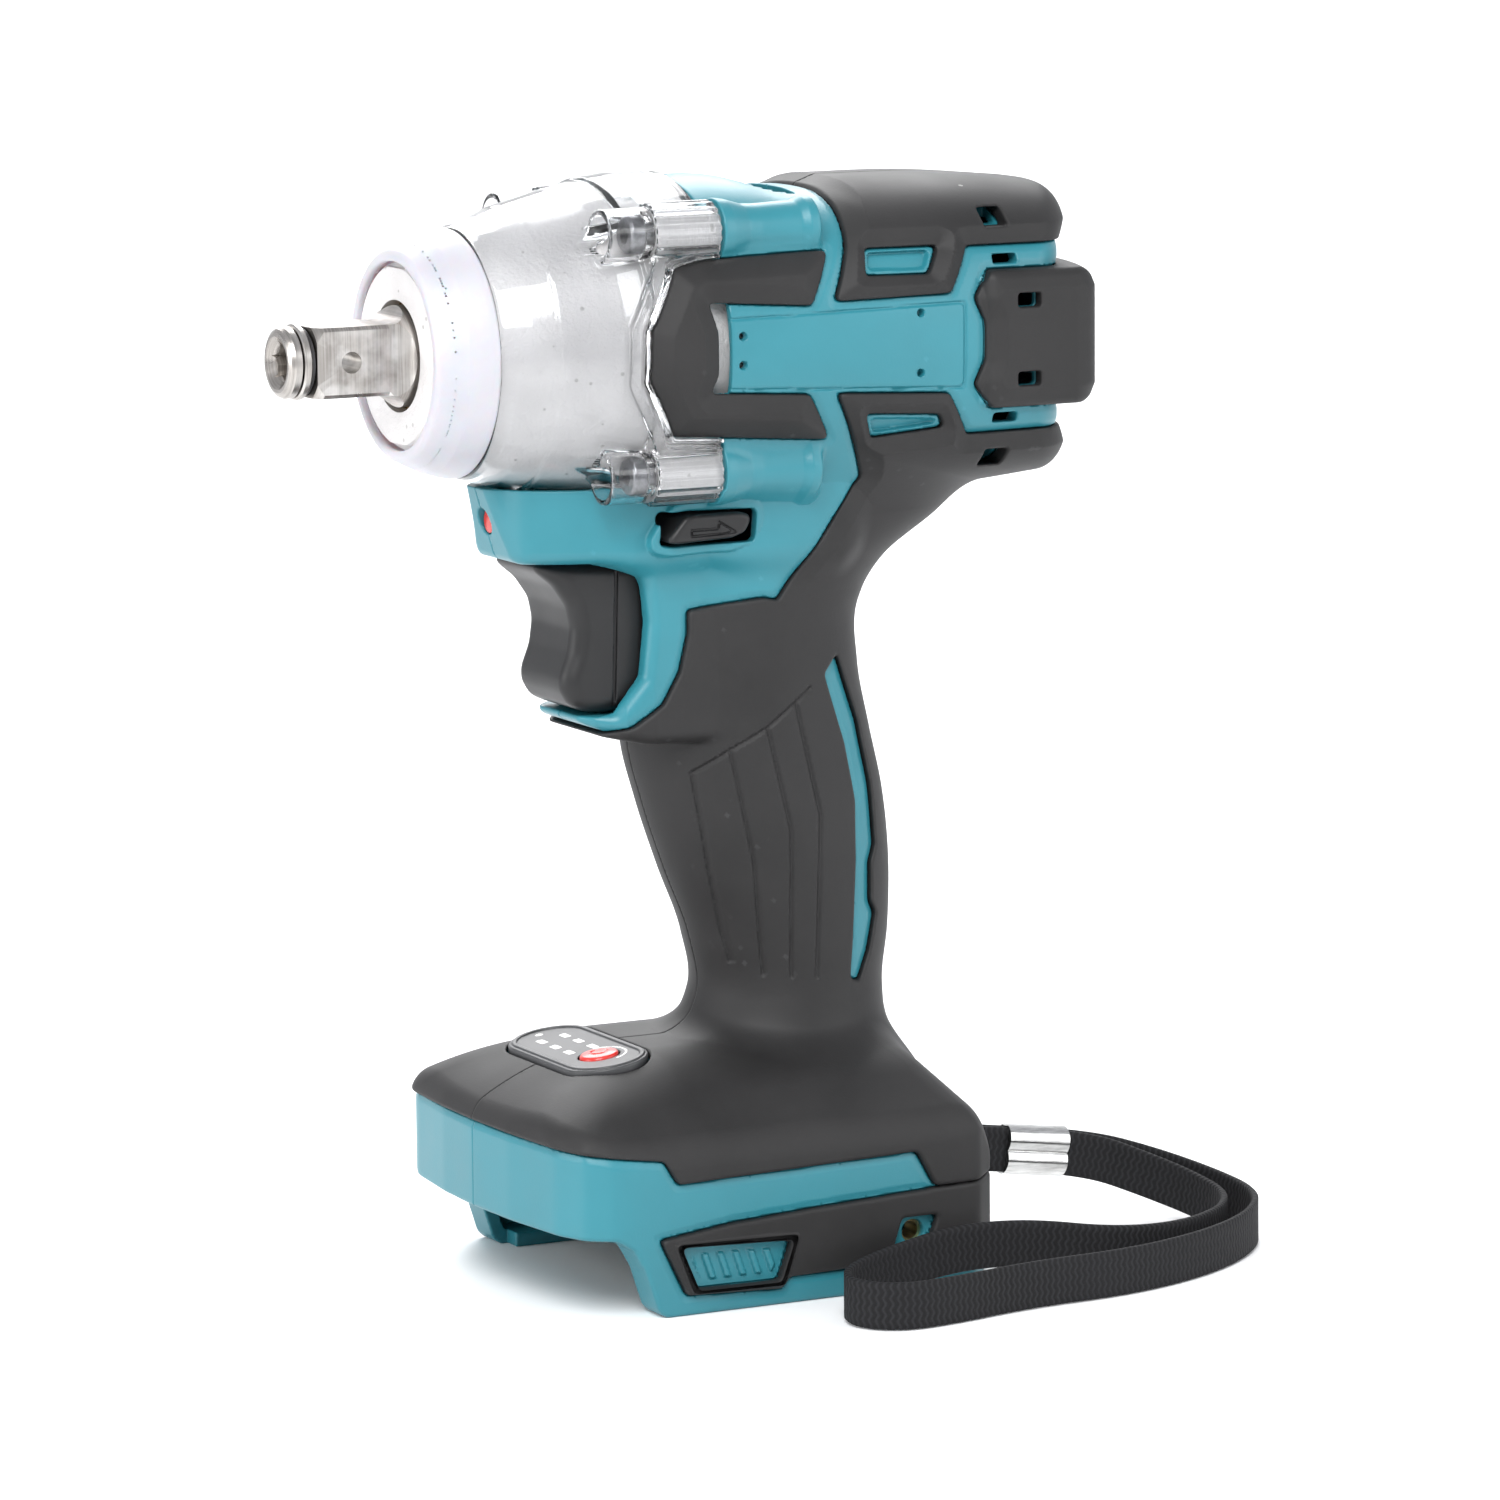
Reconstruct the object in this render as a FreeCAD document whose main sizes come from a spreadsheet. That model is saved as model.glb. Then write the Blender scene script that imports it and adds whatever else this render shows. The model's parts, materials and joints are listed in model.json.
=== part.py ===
"""Cordless half-inch impact wrench, bare tool with its wrist strap.

Frame: the nose points along -X, the tool's left side along -Y and +Z is up. The
origin is under the middle of the tool, on the ground that its foot stands on.
"Station" means the distance back from the nose tip, and "height" or "drop" in the
head is counted from the spindle axis.
"""
import FreeCAD, Part
import math
import os
import re

import Sketcher
from FreeCAD import Placement, Rotation, Vector

os.makedirs("parts", exist_ok=True)
doc = FreeCAD.newDocument("impact_wrench")

# ---------------------------------------------------------------- driving dimensions
DIMENSIONS = {
    "overall_length": 155.0,
    "overall_width": 78.6,
    "axis_height": 172.8,
    "wall": 2.6,
    "skin": 1.2,
    "gap": 0.3,
    # square drive and its shaft
    "square_size": 12.7,
    "square_start": 5.2,
    "square_end": 19.3,
    "collar_radius": 6.5,
    "groove_radius": 4.9,
    "shank_radius": 9.2,
    "corner_radius": 8.5,
    "journal_radius": 9.0,
    "pin_hole_radius": 1.95,
    "pin_hole_station": 11.85,
    "anvil_rear": 50.0,
    # hammer case, bumper and clear cover
    "plate_station": 23.5,
    "plate_radius": 16.56,
    "plate_flat": 15.85,
    "nose_hole_radius": 10.15,
    "case_radius": 27.0,
    "case_bore": 24.9,
    "case_rear": 83.8,
    "bumper_rear": 33.5,
    "bumper_radius": 22.65,
    "cover_radius": 29.6,
    "cover_wall": 1.6,
    "boss_offset_y": 22.2,
    "boss_offset_z": 21.7,
    "boss_radius": 5.5,
    "boss_front": 53.0,
    "boss_shoulder": 62.3,
    "boss_joint": 75.7,
    "boss_rear": 95.5,
    # impact mechanism
    "bushing_rear": 42.0,
    "bushing_radius": 12.0,
    "wing_radius": 20.5,
    "hammer_radius": 21.5,
    "hammer_front": 50.8,
    "hammer_rear": 78.0,
    "hammer_bore": 8.06,
    "spindle_radius": 8.0,
    "spindle_front": 43.2,
    "carrier_front": 85.0,
    "carrier_rear": 101.0,
    "carrier_radius": 19.5,
    "spring_radius": 12.6,
    "spring_wire": 1.5,
    # planetary gear set
    "gear_module": 0.75,
    "sun_teeth": 15,
    "planet_teeth": 21,
    "ring_teeth": 57,
    "gear_front": 89.0,
    "gear_width": 8.0,
    "planet_pin_radius": 2.5,
    "ring_radius": 24.6,
    # motor
    "rotor_shaft_radius": 3.0,
    "stator_radius": 25.0,
    "stator_front": 118.0,
    "stator_rear": 138.0,
    "rotor_radius": 13.6,
    "bearing_radius": 8.0,
    # head housing
    "barrel_radius": 30.3,
    "barrel_front": 59.6,
    "tail_half_width": 32.2,
    "tail_half_height": 30.0,
    "tail_front": 97.0,
    "tail_rear": 148.5,
    "cap_half_height": 12.6,
    # trigger and switch
    "trigger_half_width": 10.8,
    "trigger_travel": 6.5,
    "lever_half_length": 22.6,
    # foot
    "foot_front": 34.5,
    "foot_rear": 131.0,
    "skirt_height": 14.5,
    "band_height": 31.0,
    "deck_height": 43.0,
    "channel_half_width": 31.4,
    "channel_height": 14.2,
    # wrist strap
    "strap_width": 8.6,
    "strap_thickness": 1.3,
    "clamp_length": 13.0,
}

sheet = doc.addObject("Spreadsheet::Sheet", "Sizes")
for row, (alias, value) in enumerate(DIMENSIONS.items(), start=1):
    sheet.set(f"A{row}", alias.replace("_", " "))
    sheet.set(f"B{row}", str(value))
    sheet.setAlias(f"B{row}", alias)
doc.recompute()


def size(alias):
    """The value of a sheet cell."""
    return float(sheet.get(alias))


def bound(text):
    """A sheet expression: every alias in the text gets the sheet's name."""
    names = "|".join(sorted(DIMENSIONS, key=len, reverse=True))
    return re.sub(rf"\b({names})\b", r"Sizes.\1", text)


def worked_out(text):
    """The number that an expression of aliases has now, from a spare cell."""
    sheet.set("D1", f"={text}")
    sheet.recompute()
    return float(sheet.get("D1"))


def station(distance):
    """X of a point that lies this far behind the nose tip."""
    return distance - size("overall_length") / 2


AXIS = size("axis_height")
SKIN = size("skin")
WALL = size("wall")
GAP = size("gap")
nodes = {}


def keep(name, feature):
    """Register a document object as the sub-part called name."""
    feature.Label = name
    nodes[name] = feature
    return feature


def solid_node(name, shape):
    """A sub-part whose shape is made with Part's own functions."""
    merged = shape.copy().removeSplitter()
    same = merged.isValid() and abs(merged.Volume - shape.Volume) < 0.001 * shape.Volume
    feature = doc.addObject("Part::Feature", name)
    feature.Shape = merged if same else shape
    return keep(name, feature)


# ---------------------------------------------------------------- turned sub-parts
def origin_plane(body, role):
    return next(item for item in body.Origin.OriginFeatures if item.Role == role)


def profile_sketch(body, name, outline):
    """A closed profile in the XZ plane, each corner held by sheet expressions."""
    sketch = body.newObject("Sketcher::SketchObject", name)
    sketch.AttachmentSupport = [(origin_plane(body, "XZ_Plane"), "")]
    sketch.MapMode = "FlatFace"
    corners = [Vector(worked_out(across), worked_out(up), 0) for across, up in outline]
    count = len(corners)
    for index in range(count):
        sketch.addGeometry(Part.LineSegment(corners[index], corners[(index + 1) % count]), False)
    for index in range(count):
        sketch.addConstraint(Sketcher.Constraint("Coincident", index, 2, (index + 1) % count, 1))
    for index, (across, up) in enumerate(outline):
        for kind, text in (("DistanceX", across), ("DistanceY", up)):
            value = corners[index].x if kind == "DistanceX" else corners[index].y
            if abs(value) < 1e-9:
                axis = -2 if kind == "DistanceX" else -1
                sketch.addConstraint(Sketcher.Constraint("PointOnObject", index, 1, axis))
                continue
            number = sketch.addConstraint(Sketcher.Constraint(kind, -1, 1, index, 1, value))
            sketch.setExpression(f"Constraints[{number}]", bound(text))
    return sketch


def turned_body(name, outline):
    """A body of revolution about the spindle axis, from (station, radius) corners."""
    body = doc.addObject("PartDesign::Body", name)
    sketch = profile_sketch(body, f"{name}_profile", outline)
    turn = body.newObject("PartDesign::Revolution", f"{name}_turn")
    turn.Profile = sketch
    turn.ReferenceAxis = (sketch, ["H_Axis"])
    turn.Angle = 360
    body.Tip = turn
    body.setExpression("Placement.Base.x", bound("-overall_length / 2"))
    body.setExpression("Placement.Base.z", bound("axis_height"))
    doc.recompute()
    return keep(name, body)


def ring_outline(front, rear, inner, outer):
    return [(front, inner), (front, outer), (rear, outer), (rear, inner)]


# ---------------------------------------------------------------- small shape helpers
def cylinder_x(front, rear, radius, y=0.0, z=0.0):
    """A cylinder along the nose axis between two stations, offset from the spindle."""
    return Part.makeCylinder(radius, rear - front, Vector(station(front), y, AXIS + z), Vector(1, 0, 0))


def cylinder_y(radius, where, height, half_length, start=None):
    """A cylinder across the tool, at a station and a height above the ground."""
    first = -half_length if start is None else start
    return Part.makeCylinder(radius, half_length - first, Vector(station(where), first, height),
        Vector(0, 1, 0))


def block(front, rear, y_low, y_high, z_low, z_high):
    """A box from stations and heights above the ground."""
    return Part.makeBox(rear - front, y_high - y_low, z_high - z_low,
        Vector(station(front), y_low, z_low))


def side_prism(outline, y_low, y_high, base=AXIS):
    """A plate cut to a side-view outline of (station, height over base) points."""
    points = [Vector(station(along), y_low, base + up) for along, up in outline]
    face = Part.Face(Part.makePolygon(points + points[:1]))
    return face.extrude(Vector(0, y_high - y_low, 0))


def rounded_loop(front, rear, half_width, radius, height):
    """A rounded rectangle in plan, as a wire at a height above the ground."""
    low, high = station(front), station(rear)
    middle = radius * (1 - math.sqrt(0.5))
    corners = [(low, -half_width, 1, 1), (high, -half_width, -1, 1),
               (high, half_width, -1, -1), (low, half_width, 1, -1)]
    arcs = []
    for x, y, towards_x, towards_y in corners:
        along_x = Vector(x + towards_x * radius, y, height)
        along_y = Vector(x, y + towards_y * radius, height)
        bend = Vector(x + towards_x * middle, y + towards_y * middle, height)
        ends = (along_y, along_x) if towards_x == towards_y else (along_x, along_y)
        arcs.append((ends[0], bend, ends[1]))
    edges = []
    for index, (start, bend, end) in enumerate(arcs):
        edges.append(Part.Arc(start, bend, end).toShape())
        edges.append(Part.LineSegment(end, arcs[(index + 1) % 4][0]).toShape())
    return Part.Wire(edges)


def softened_box(front, rear, half_width, low, high, radius, tail_radius):
    """A box along the nose axis with rounded long edges and rounded rear corners."""
    box = block(front, rear, -half_width, half_width, low, high)
    long_edges = [edge for edge in box.Edges
                  if abs(edge.tangentAt(edge.FirstParameter).x) > 0.9]
    rounded = box.makeFillet(radius, long_edges)
    plan = Part.Face(rounded_loop(front - 2 * tail_radius, rear, half_width, tail_radius, low - 1))
    return rounded.common(plan.extrude(Vector(0, 0, high - low + 2)))


def mirrored(shape):
    return shape.mirror(Vector(0, 0, 0), Vector(0, 1, 0))


def both_sides(shape):
    return shape.fuse(mirrored(shape))


def all_corners(shape):
    """The four copies of a shape about the spindle axis, at plus and minus Y and Z."""
    lower = shape.mirror(Vector(0, 0, AXIS), Vector(0, 0, 1))
    return Part.makeCompound([shape, lower, mirrored(shape), mirrored(lower)])


def fused(shapes):
    first, *others = shapes
    return first.multiFuse(others) if others else first


# ---------------------------------------------------------------- gears
def involute(angle):
    """The involute function of a pressure angle in radians."""
    return math.tan(angle) - angle


def tooth_flank(module, teeth, tip, root, thinning):
    """Polar points (radius, half angle) up one involute flank of 20 degrees."""
    pressure = math.radians(20)
    pitch = module * teeth / 2
    base = pitch * math.cos(pressure)
    half_at_pitch = math.pi / (2 * teeth) - thinning / (2 * pitch)
    flank = []
    start = max(base, root)
    if root < base:
        flank.append((root, half_at_pitch + involute(pressure)))
    for step in range(4):
        radius = start + (tip - start) * step / 3
        flank.append((radius, half_at_pitch + involute(pressure) - involute(math.acos(min(1,
            base / radius)))))
    return flank


def gear_face(module, teeth, tip, root, thinning, phase, centre, x):
    """A toothed face in the YZ plane, with a tooth centred on the phase angle."""
    flank = tooth_flank(module, teeth, tip, root, thinning)
    points = []
    for tooth in range(teeth):
        middle = phase + 2 * math.pi * tooth / teeth
        for radius, half in flank:
            points.append((radius, middle - half))
        for radius, half in reversed(flank):
            points.append((radius, middle + half))
    loop = [Vector(x, centre[0] + radius * math.cos(angle), centre[1] + radius * math.sin(angle))
            for radius, angle in points]
    return Part.Face(Part.makePolygon(loop + loop[:1]))


MODULE = size("gear_module")
SUN = int(size("sun_teeth"))
PLANET = int(size("planet_teeth"))
RING = int(size("ring_teeth"))
ORBIT = MODULE * (SUN + PLANET) / 2
BACKLASH = 0.07
PLANET_ANGLES = [math.radians(90 + 120 * index) for index in range(3)]
GEAR_FRONT = size("gear_front")
GEAR_REAR = GEAR_FRONT + size("gear_width")


def orbit_point(angle, radius=ORBIT):
    """Y and height of a point on the planets' orbit."""
    return radius * math.cos(angle), AXIS + radius * math.sin(angle)


# ---------------------------------------------------------------- square drive
def run_out_cutter():
    """What the mill takes off one side of the bar: a flat that curves out at its rear."""
    half = size("square_size") / 2
    clear = size("shank_radius") + 1.5
    radius = clear - half
    start, end = station(size("square_start")), station(size("square_end"))
    knee = Vector(end + radius * math.sin(math.pi / 4), 0,
        AXIS + half + radius * (1 - math.cos(math.pi / 4)))
    edges = [
        Part.LineSegment(Vector(start, 0, AXIS + clear), Vector(start, 0, AXIS + half)).toShape(),
        Part.LineSegment(Vector(start, 0, AXIS + half), Vector(end, 0, AXIS + half)).toShape(),
        Part.Arc(Vector(end, 0, AXIS + half), knee, Vector(end + radius, 0, AXIS + clear)).toShape(),
        Part.LineSegment(Vector(end + radius, 0, AXIS + clear),
        Vector(start, 0, AXIS + clear)).toShape(),
    ]
    cutter = Part.Face(Part.Wire(edges)).extrude(Vector(0, 4 * clear, 0))
    cutter.translate(Vector(0, -2 * clear, 0))
    return cutter


def turned_solid(outline):
    """A solid of revolution about the spindle axis from (station, radius) corners."""
    points = [Vector(station(along), 0, AXIS + radius) for along, radius in outline]
    face = Part.Face(Part.makePolygon(points + points[:1]))
    return face.revolve(Vector(0, 0, AXIS), Vector(1, 0, 0), 360)


def star_recess():
    """The forged six-point recess in the tip, narrowing as it goes in."""
    def star(distance, outer, inner):
        points = []
        for corner in range(12):
            radius = outer if corner % 2 == 0 else inner
            angle = math.radians(30 * corner + 15)
            points.append(Vector(station(distance), radius * math.cos(angle),
                AXIS + radius * math.sin(angle)))
        return Part.makePolygon(points + points[:1])
    socket = Part.makeLoft([star(-0.1, 4.3, 2.9), star(5.5, 2.6, 1.7)], True, True)
    mouth = Part.makeCone(4.9, 3.4, 1.5, Vector(station(-0.1), 0, AXIS), Vector(1, 0, 0))
    return socket.fuse(mouth)


def sector(front, rear, radius, middle_degrees, half_degrees):
    """A pie slice of a disc about the spindle axis, between two stations."""
    reach = 2 * radius
    points = [Vector(station(front), 0, AXIS)]
    for turn in (-half_degrees, 0, half_degrees):
        angle = math.radians(middle_degrees + turn)
        points.append(Vector(station(front), reach * math.cos(angle), AXIS + reach * math.sin(angle)))
    wedge = Part.Face(Part.makePolygon(points + points[:1])).extrude(Vector(rear - front, 0, 0))
    return wedge.common(cylinder_x(front, rear, radius))


WING_HALF_ANGLE = 24
LUG_HALF_ANGLE = 28
LUG_LEAD = WING_HALF_ANGLE + LUG_HALF_ANGLE + 1.5


def anvil():
    collar, groove = size("collar_radius"), size("groove_radius")
    corner, shank = size("corner_radius"), size("shank_radius")
    journal, rear = size("journal_radius"), size("anvil_rear")
    start, end = size("square_start"), size("square_end")
    bar = turned_solid([
        (0, 0), (0, collar - 1.1), (0.35, collar - 0.45), (1.1, collar), (2.3, collar),
        (2.6, collar - 0.4),
        (2.6, groove), (start, groove), (start, corner - 1.2), (start + 1.3, corner), (end, corner),
        (end + 0.9, shank), (25.2, shank), (25.4, journal), (44, journal), (44, 13), (rear, 13),
        (rear, 0),
    ])
    wings = fused([sector(44, rear, size("wing_radius"), middle, WING_HALF_ANGLE) for middle in (0,
        180)])
    forging = bar.fuse(wings)
    cutter = run_out_cutter()
    for quarter in range(4):
        forging = forging.cut(cutter)
        cutter = cutter.copy()
        cutter.rotate(Vector(0, 0, AXIS), Vector(1, 0, 0), 90)
    pin_hole = cylinder_y(size("pin_hole_radius"), size("pin_hole_station"), AXIS, 10)
    pilot = cylinder_x(rear - 7.5, rear + 1, 5.06)
    return forging.cut(fused([pin_hole, pilot])).cut(star_recess())


solid_node("anvil", anvil())
turned_body("friction_ring", [("2.75", "groove_radius + 0.6"), ("2.75", "collar_radius"),
                              ("3.1", "collar_radius + 0.35"), ("3.9", "collar_radius + 0.35"),
                              ("4.25", "collar_radius"), ("4.25", "groove_radius + 0.6")])
turned_body("anvil_o_ring", [("2.85", "groove_radius + 0.02"), ("2.85", "groove_radius + 0.55"),
                             ("4.35", "groove_radius + 0.55"), ("4.35", "groove_radius + 1.2"),
                             ("4.95", "groove_radius + 1.2"), ("5.1", "groove_radius + 0.8"),
                             ("5.1", "groove_radius + 0.02")])
turned_body("anvil_bushing", ring_outline("26.6", "bushing_rear", "journal_radius + 0.05",
    "bushing_radius"))
turned_body("thrust_washer", ring_outline("42.4", "43.8", "journal_radius + 0.3", "bushing_radius + 3"))


# ---------------------------------------------------------------- nose
def hammer_case():
    """Cast case: a cone that grows to a cup, with the bushing seat in its nose and four ears."""
    bore, seat = size("case_bore"), size("bushing_radius") + 0.02
    outer, plate = size("case_radius"), size("plate_station")
    rear, flat = size("case_rear"), size("plate_flat")
    shell = turned_solid([
        (plate, size("nose_hole_radius")), (plate, size("plate_radius") - 0.5),
        (plate + 0.5, size("plate_radius")),
        (33.8, 21.0), (45, 24.6), (56, 26.6), (60, outer), (rear, outer), (rear, bore), (47, bore),
        (44.4, 22),
        (42.2, 18), (42.2, seat), (26.4, seat), (26.4, size("nose_hole_radius")),
    ])
    for side in (1, -1):
        low = AXIS + flat if side > 0 else AXIS - flat - 3
        shell = shell.cut(block(plate - 1, plate + 1.4, -20, 20, low, low + 3))
    y, z = size("boss_offset_y"), size("boss_offset_z")
    front, back = size("boss_shoulder") + 0.6, size("boss_joint") - GAP
    ear = cylinder_x(front, back, 4.1, y, z)
    web = block(front, back, y - 6, y - 1, AXIS + z - 6, AXIS + z - 1)
    web = web.cut(cylinder_x(front - 1, back + 1, bore + 1))
    return shell.fuse(all_corners(ear.fuse(web))).cut(all_corners(cylinder_x(front - 1, back + 1, 2.1,
        y, z)))


def fluted_boss(y, z):
    """The clear boss round one case ear, with fine flutes along it."""
    flutes, radius, depth = 30, size("boss_radius"), 0.22
    points = []
    for step in range(2 * flutes):
        reach = radius if step % 2 == 0 else radius - depth
        angle = math.pi * step / flutes
        points.append(Vector(station(size("boss_shoulder")), y + reach * math.cos(angle),
            AXIS + z + reach * math.sin(angle)))
    face = Part.Face(Part.makePolygon(points + points[:1]))
    return face.extrude(Vector(size("boss_joint") - GAP - size("boss_shoulder"), 0, 0))


CHEVRON_HALF_HEIGHT = 15.7
CHEVRON = [(81, CHEVRON_HALF_HEIGHT), (66, CHEVRON_HALF_HEIGHT), (60, 4.8), (59.6, -4.2),
    (65.6, -CHEVRON_HALF_HEIGHT),
           (81, -CHEVRON_HALF_HEIGHT)]
CHIN_DROP = 24.4


def clear_cover():
    """Moulded clear shield over the case, cut back at the sides and over the chin."""
    outer, wall = size("cover_radius"), size("cover_wall")
    rear = size("boss_joint") - GAP
    shell = turned_solid([
        (34.0, 22.7), (36.3, 23.6), (43.4, 25.8), (53.7, 28.4), (59, outer - 0.2), (62, outer),
        (rear, outer),
        (rear, outer - wall), (62, outer - wall), (59, outer - wall - 0.2), (53.7, 26.9), (43.4, 24.5),
        (36.3, 22.2),
        (34.0, 21.35),
    ])
    y, z = size("boss_offset_y"), size("boss_offset_z")
    tube = cylinder_x(size("boss_front"), size("boss_shoulder") + 0.5, size("boss_radius") - 0.6, y, z)
    shell = shell.multiFuse([all_corners(tube.fuse(fluted_boss(y, z)))])
    ear_room = cylinder_x(size("boss_shoulder") + 0.4, rear + 1, 4.3, y, z)
    head_room = cylinder_x(size("boss_front") - 1, size("boss_shoulder") - 1.4, 3.9, y, z)
    shank_room = cylinder_x(size("boss_shoulder") - 2, size("boss_shoulder") + 1, 2.2, y, z)
    shell = shell.cut(all_corners(fused([ear_room, head_room, shank_room])))
    case_room = turned_solid([(30, 0), (30, 19.6), (33.8, 21.3), (45, 24.9), (56, 26.9),
        (60, size("case_radius") + 0.3),
                              (rear + 2, size("case_radius") + 0.3), (rear + 2, 0)])
    window = [(along - GAP, drop * 1.02) for along, drop in CHEVRON]
    shell = shell.cut(both_sides(side_prism(window, 18, 45))).cut(case_room)
    chin = block(30, rear + 1, -16.4, 16.4, AXIS - 45, AXIS - CHIN_DROP)
    return shell.cut(chin)


def case_screws():
    """Four pan-head screws that hold cover and case to the housing."""
    y, z = size("boss_offset_y"), size("boss_offset_z")
    seat = size("boss_shoulder") - 1.4
    head = cylinder_x(seat - 2.8, seat, 3.5, y, z)
    edges = [edge for edge in head.Edges if abs(edge.CenterOfMass.x - station(seat - 2.8)) < 1e-6]
    head = head.makeFillet(0.7, edges)
    hexagon = Part.makePolygon([
        Vector(station(seat - 3), y + 1.7 * math.cos(math.radians(60 * corner)),
               AXIS + z + 1.7 * math.sin(math.radians(60 * corner))) for corner in range(7)])
    socket = Part.Face(hexagon).extrude(Vector(1.9, 0, 0))
    shank = cylinder_x(seat - 0.1, size("boss_rear") - 1.5, 1.9, y, z)
    return all_corners(head.fuse(shank).cut(socket))


solid_node("hammer_case", hammer_case())
turned_body("nose_bumper", [("plate_station + 0.6", "plate_radius + 0.5"),
    ("plate_station - 0.5", "plate_radius + 1.0"),
                            ("plate_station - 0.7", "plate_radius + 1.6"),
                            ("plate_station - 0.2", "plate_radius + 2.5"),
                            ("28.2", "21.3"), ("bumper_rear - 0.5", "bumper_radius"),
                            ("bumper_rear", "bumper_radius - 0.3"), ("bumper_rear", "21.15")])
solid_node("clear_cover", clear_cover())
solid_node("case_screws", case_screws())


# ---------------------------------------------------------------- impact mechanism
def ring_of_balls(distance, radius, ball, count, phase):
    balls = []
    for index in range(count):
        angle = math.radians(phase + 360 * index / count)
        balls.append(Part.makeSphere(ball, Vector(station(distance), radius * math.cos(angle),
            AXIS + radius * math.sin(angle))))
    return balls


BALL_RADIUS = 3.0
BALL_STATION = 60.0


def ball_pocket(radius, height):
    """A bore open to the front that ends in a hemisphere round one drive ball."""
    front, centre = station(48), station(BALL_STATION)
    corners = [Vector(front, 0, 0), Vector(front, 0, radius), Vector(centre, 0, radius),
        Vector(centre + radius, 0, 0)]
    bend = Vector(centre + radius * math.sqrt(0.5), 0, radius * math.sqrt(0.5))
    edges = [Part.LineSegment(corners[0], corners[1]).toShape(),
        Part.LineSegment(corners[1], corners[2]).toShape(),
             Part.Arc(corners[2], bend, corners[3]).toShape(),
             Part.LineSegment(corners[3], corners[0]).toShape()]
    pocket = Part.Face(Part.Wire(edges)).revolve(Vector(0, 0, 0), Vector(1, 0, 0), 360)
    pocket.translate(Vector(0, 0, AXIS + height))
    return pocket


def hammer():
    """Cup with a solid front wall, two lugs, and ball pockets in its bore."""
    radius, bore = size("hammer_radius"), size("hammer_bore")
    front, rear = size("hammer_front"), size("hammer_rear")
    cup = turned_solid([
        (front, bore), (front, radius - 0.8), (front + 0.8, radius), (rear - 0.8, radius),
        (rear, radius - 0.8),
        (rear, radius - 5.4), (66, radius - 5.4), (66, bore),
    ])
    lugs = fused([sector(front - 5.3, front + 0.5, size("wing_radius"), LUG_LEAD + turn,
        LUG_HALF_ANGLE) for turn in (0, 180)])
    lugs = lugs.cut(cylinder_x(front - 6, front + 1, 13.3))
    pockets = [ball_pocket(BALL_RADIUS + 0.15, size("spindle_radius") + 0.9)]
    pockets.append(pockets[0].mirror(Vector(0, 0, AXIS), Vector(0, 0, 1)))
    return cup.fuse(lugs).cut(fused(pockets))


def spindle():
    """Hammer shaft with its ball grooves, made in one piece with the planet carrier."""
    radius, disc = size("spindle_radius"), size("carrier_radius")
    front, rear = size("carrier_front"), size("carrier_rear")
    shaft = turned_solid([
        (size("spindle_front"), 0), (size("spindle_front"), 4.4), (size("spindle_front") + 0.6, 5.0),
        (50.4, 5.0),
        (50.4, radius), (front, radius), (front, disc), (rear - 0.3, disc), (rear - 0.3, 11),
        (rear, 11), (rear, 9.0),
        (rear + 4, 9.0), (rear + 4, 0),
    ])
    sun_room = cylinder_x(GEAR_FRONT - 0.6, rear + 5, 7.0)
    windows = []
    for angle in PLANET_ANGLES:
        y, height = orbit_point(angle)
        windows.append(cylinder_x(GEAR_FRONT - 0.5, GEAR_REAR + 0.5, MODULE * (PLANET / 2 + 1) + 0.5, y,
            height - AXIS))
        windows.append(cylinder_x(front - 1, rear + 1, size("planet_pin_radius") + 0.01, y,
            height - AXIS))
    grooves = []
    for ball in ring_of_balls(BALL_STATION, radius + 0.9, BALL_RADIUS + 0.05, 2, 90):
        grooves.append(ball)
    return shaft.cut(fused([sun_room] + windows + grooves))


def coil(front, rear, mean, wire, turns, drop=0.0):
    """A round-wire spring along the nose axis, its wire swept in quarter turns."""
    length = rear - front - 2 * wire
    quarters = int(turns * 4)
    rise = length / quarters / 6
    points = []
    headings = []
    for step in range(quarters * 6 + 1):
        angle = math.radians(15 * step)
        points.append(Vector(mean * math.cos(angle), mean * math.sin(angle), rise * step))
        headings.append(Vector(-mean * math.sin(angle), mean * math.cos(angle),
            rise / math.radians(15)))
    runs = []
    for first in range(0, quarters * 6, 6):
        curve = Part.BSplineCurve()
        curve.interpolate(Points=points[first:first + 7], InitialTangent=headings[first],
            FinalTangent=headings[first + 6])
        runs.append(curve.toShape())
    sweep = Part.BRepOffsetAPI.MakePipeShell(Part.Wire(runs))
    sweep.setBiNormalMode(Vector(0, 0, 1))
    sweep.add(Part.Wire(Part.makeCircle(wire, points[0], headings[0])))
    sweep.build()
    sweep.makeSolid()
    spring = sweep.shape()
    spring.Placement = Placement(Vector(station(front + wire), 0, AXIS + drop),
        Rotation(Vector(0, 1, 0), 90))
    return spring


solid_node("hammer", hammer())
solid_node("hammer_balls", Part.makeCompound(ring_of_balls(BALL_STATION, size("spindle_radius") + 0.9,
    BALL_RADIUS, 2, 90)))
solid_node("hammer_spring", coil(66.1, size("carrier_front") - 1.7, size("spring_radius"),
    size("spring_wire"), 3.5))
turned_body("spring_washer", ring_outline("carrier_front - 1.6", "carrier_front - 0.1",
    "spindle_radius + 0.1", "15.5"))
solid_node("spindle", spindle())


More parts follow.
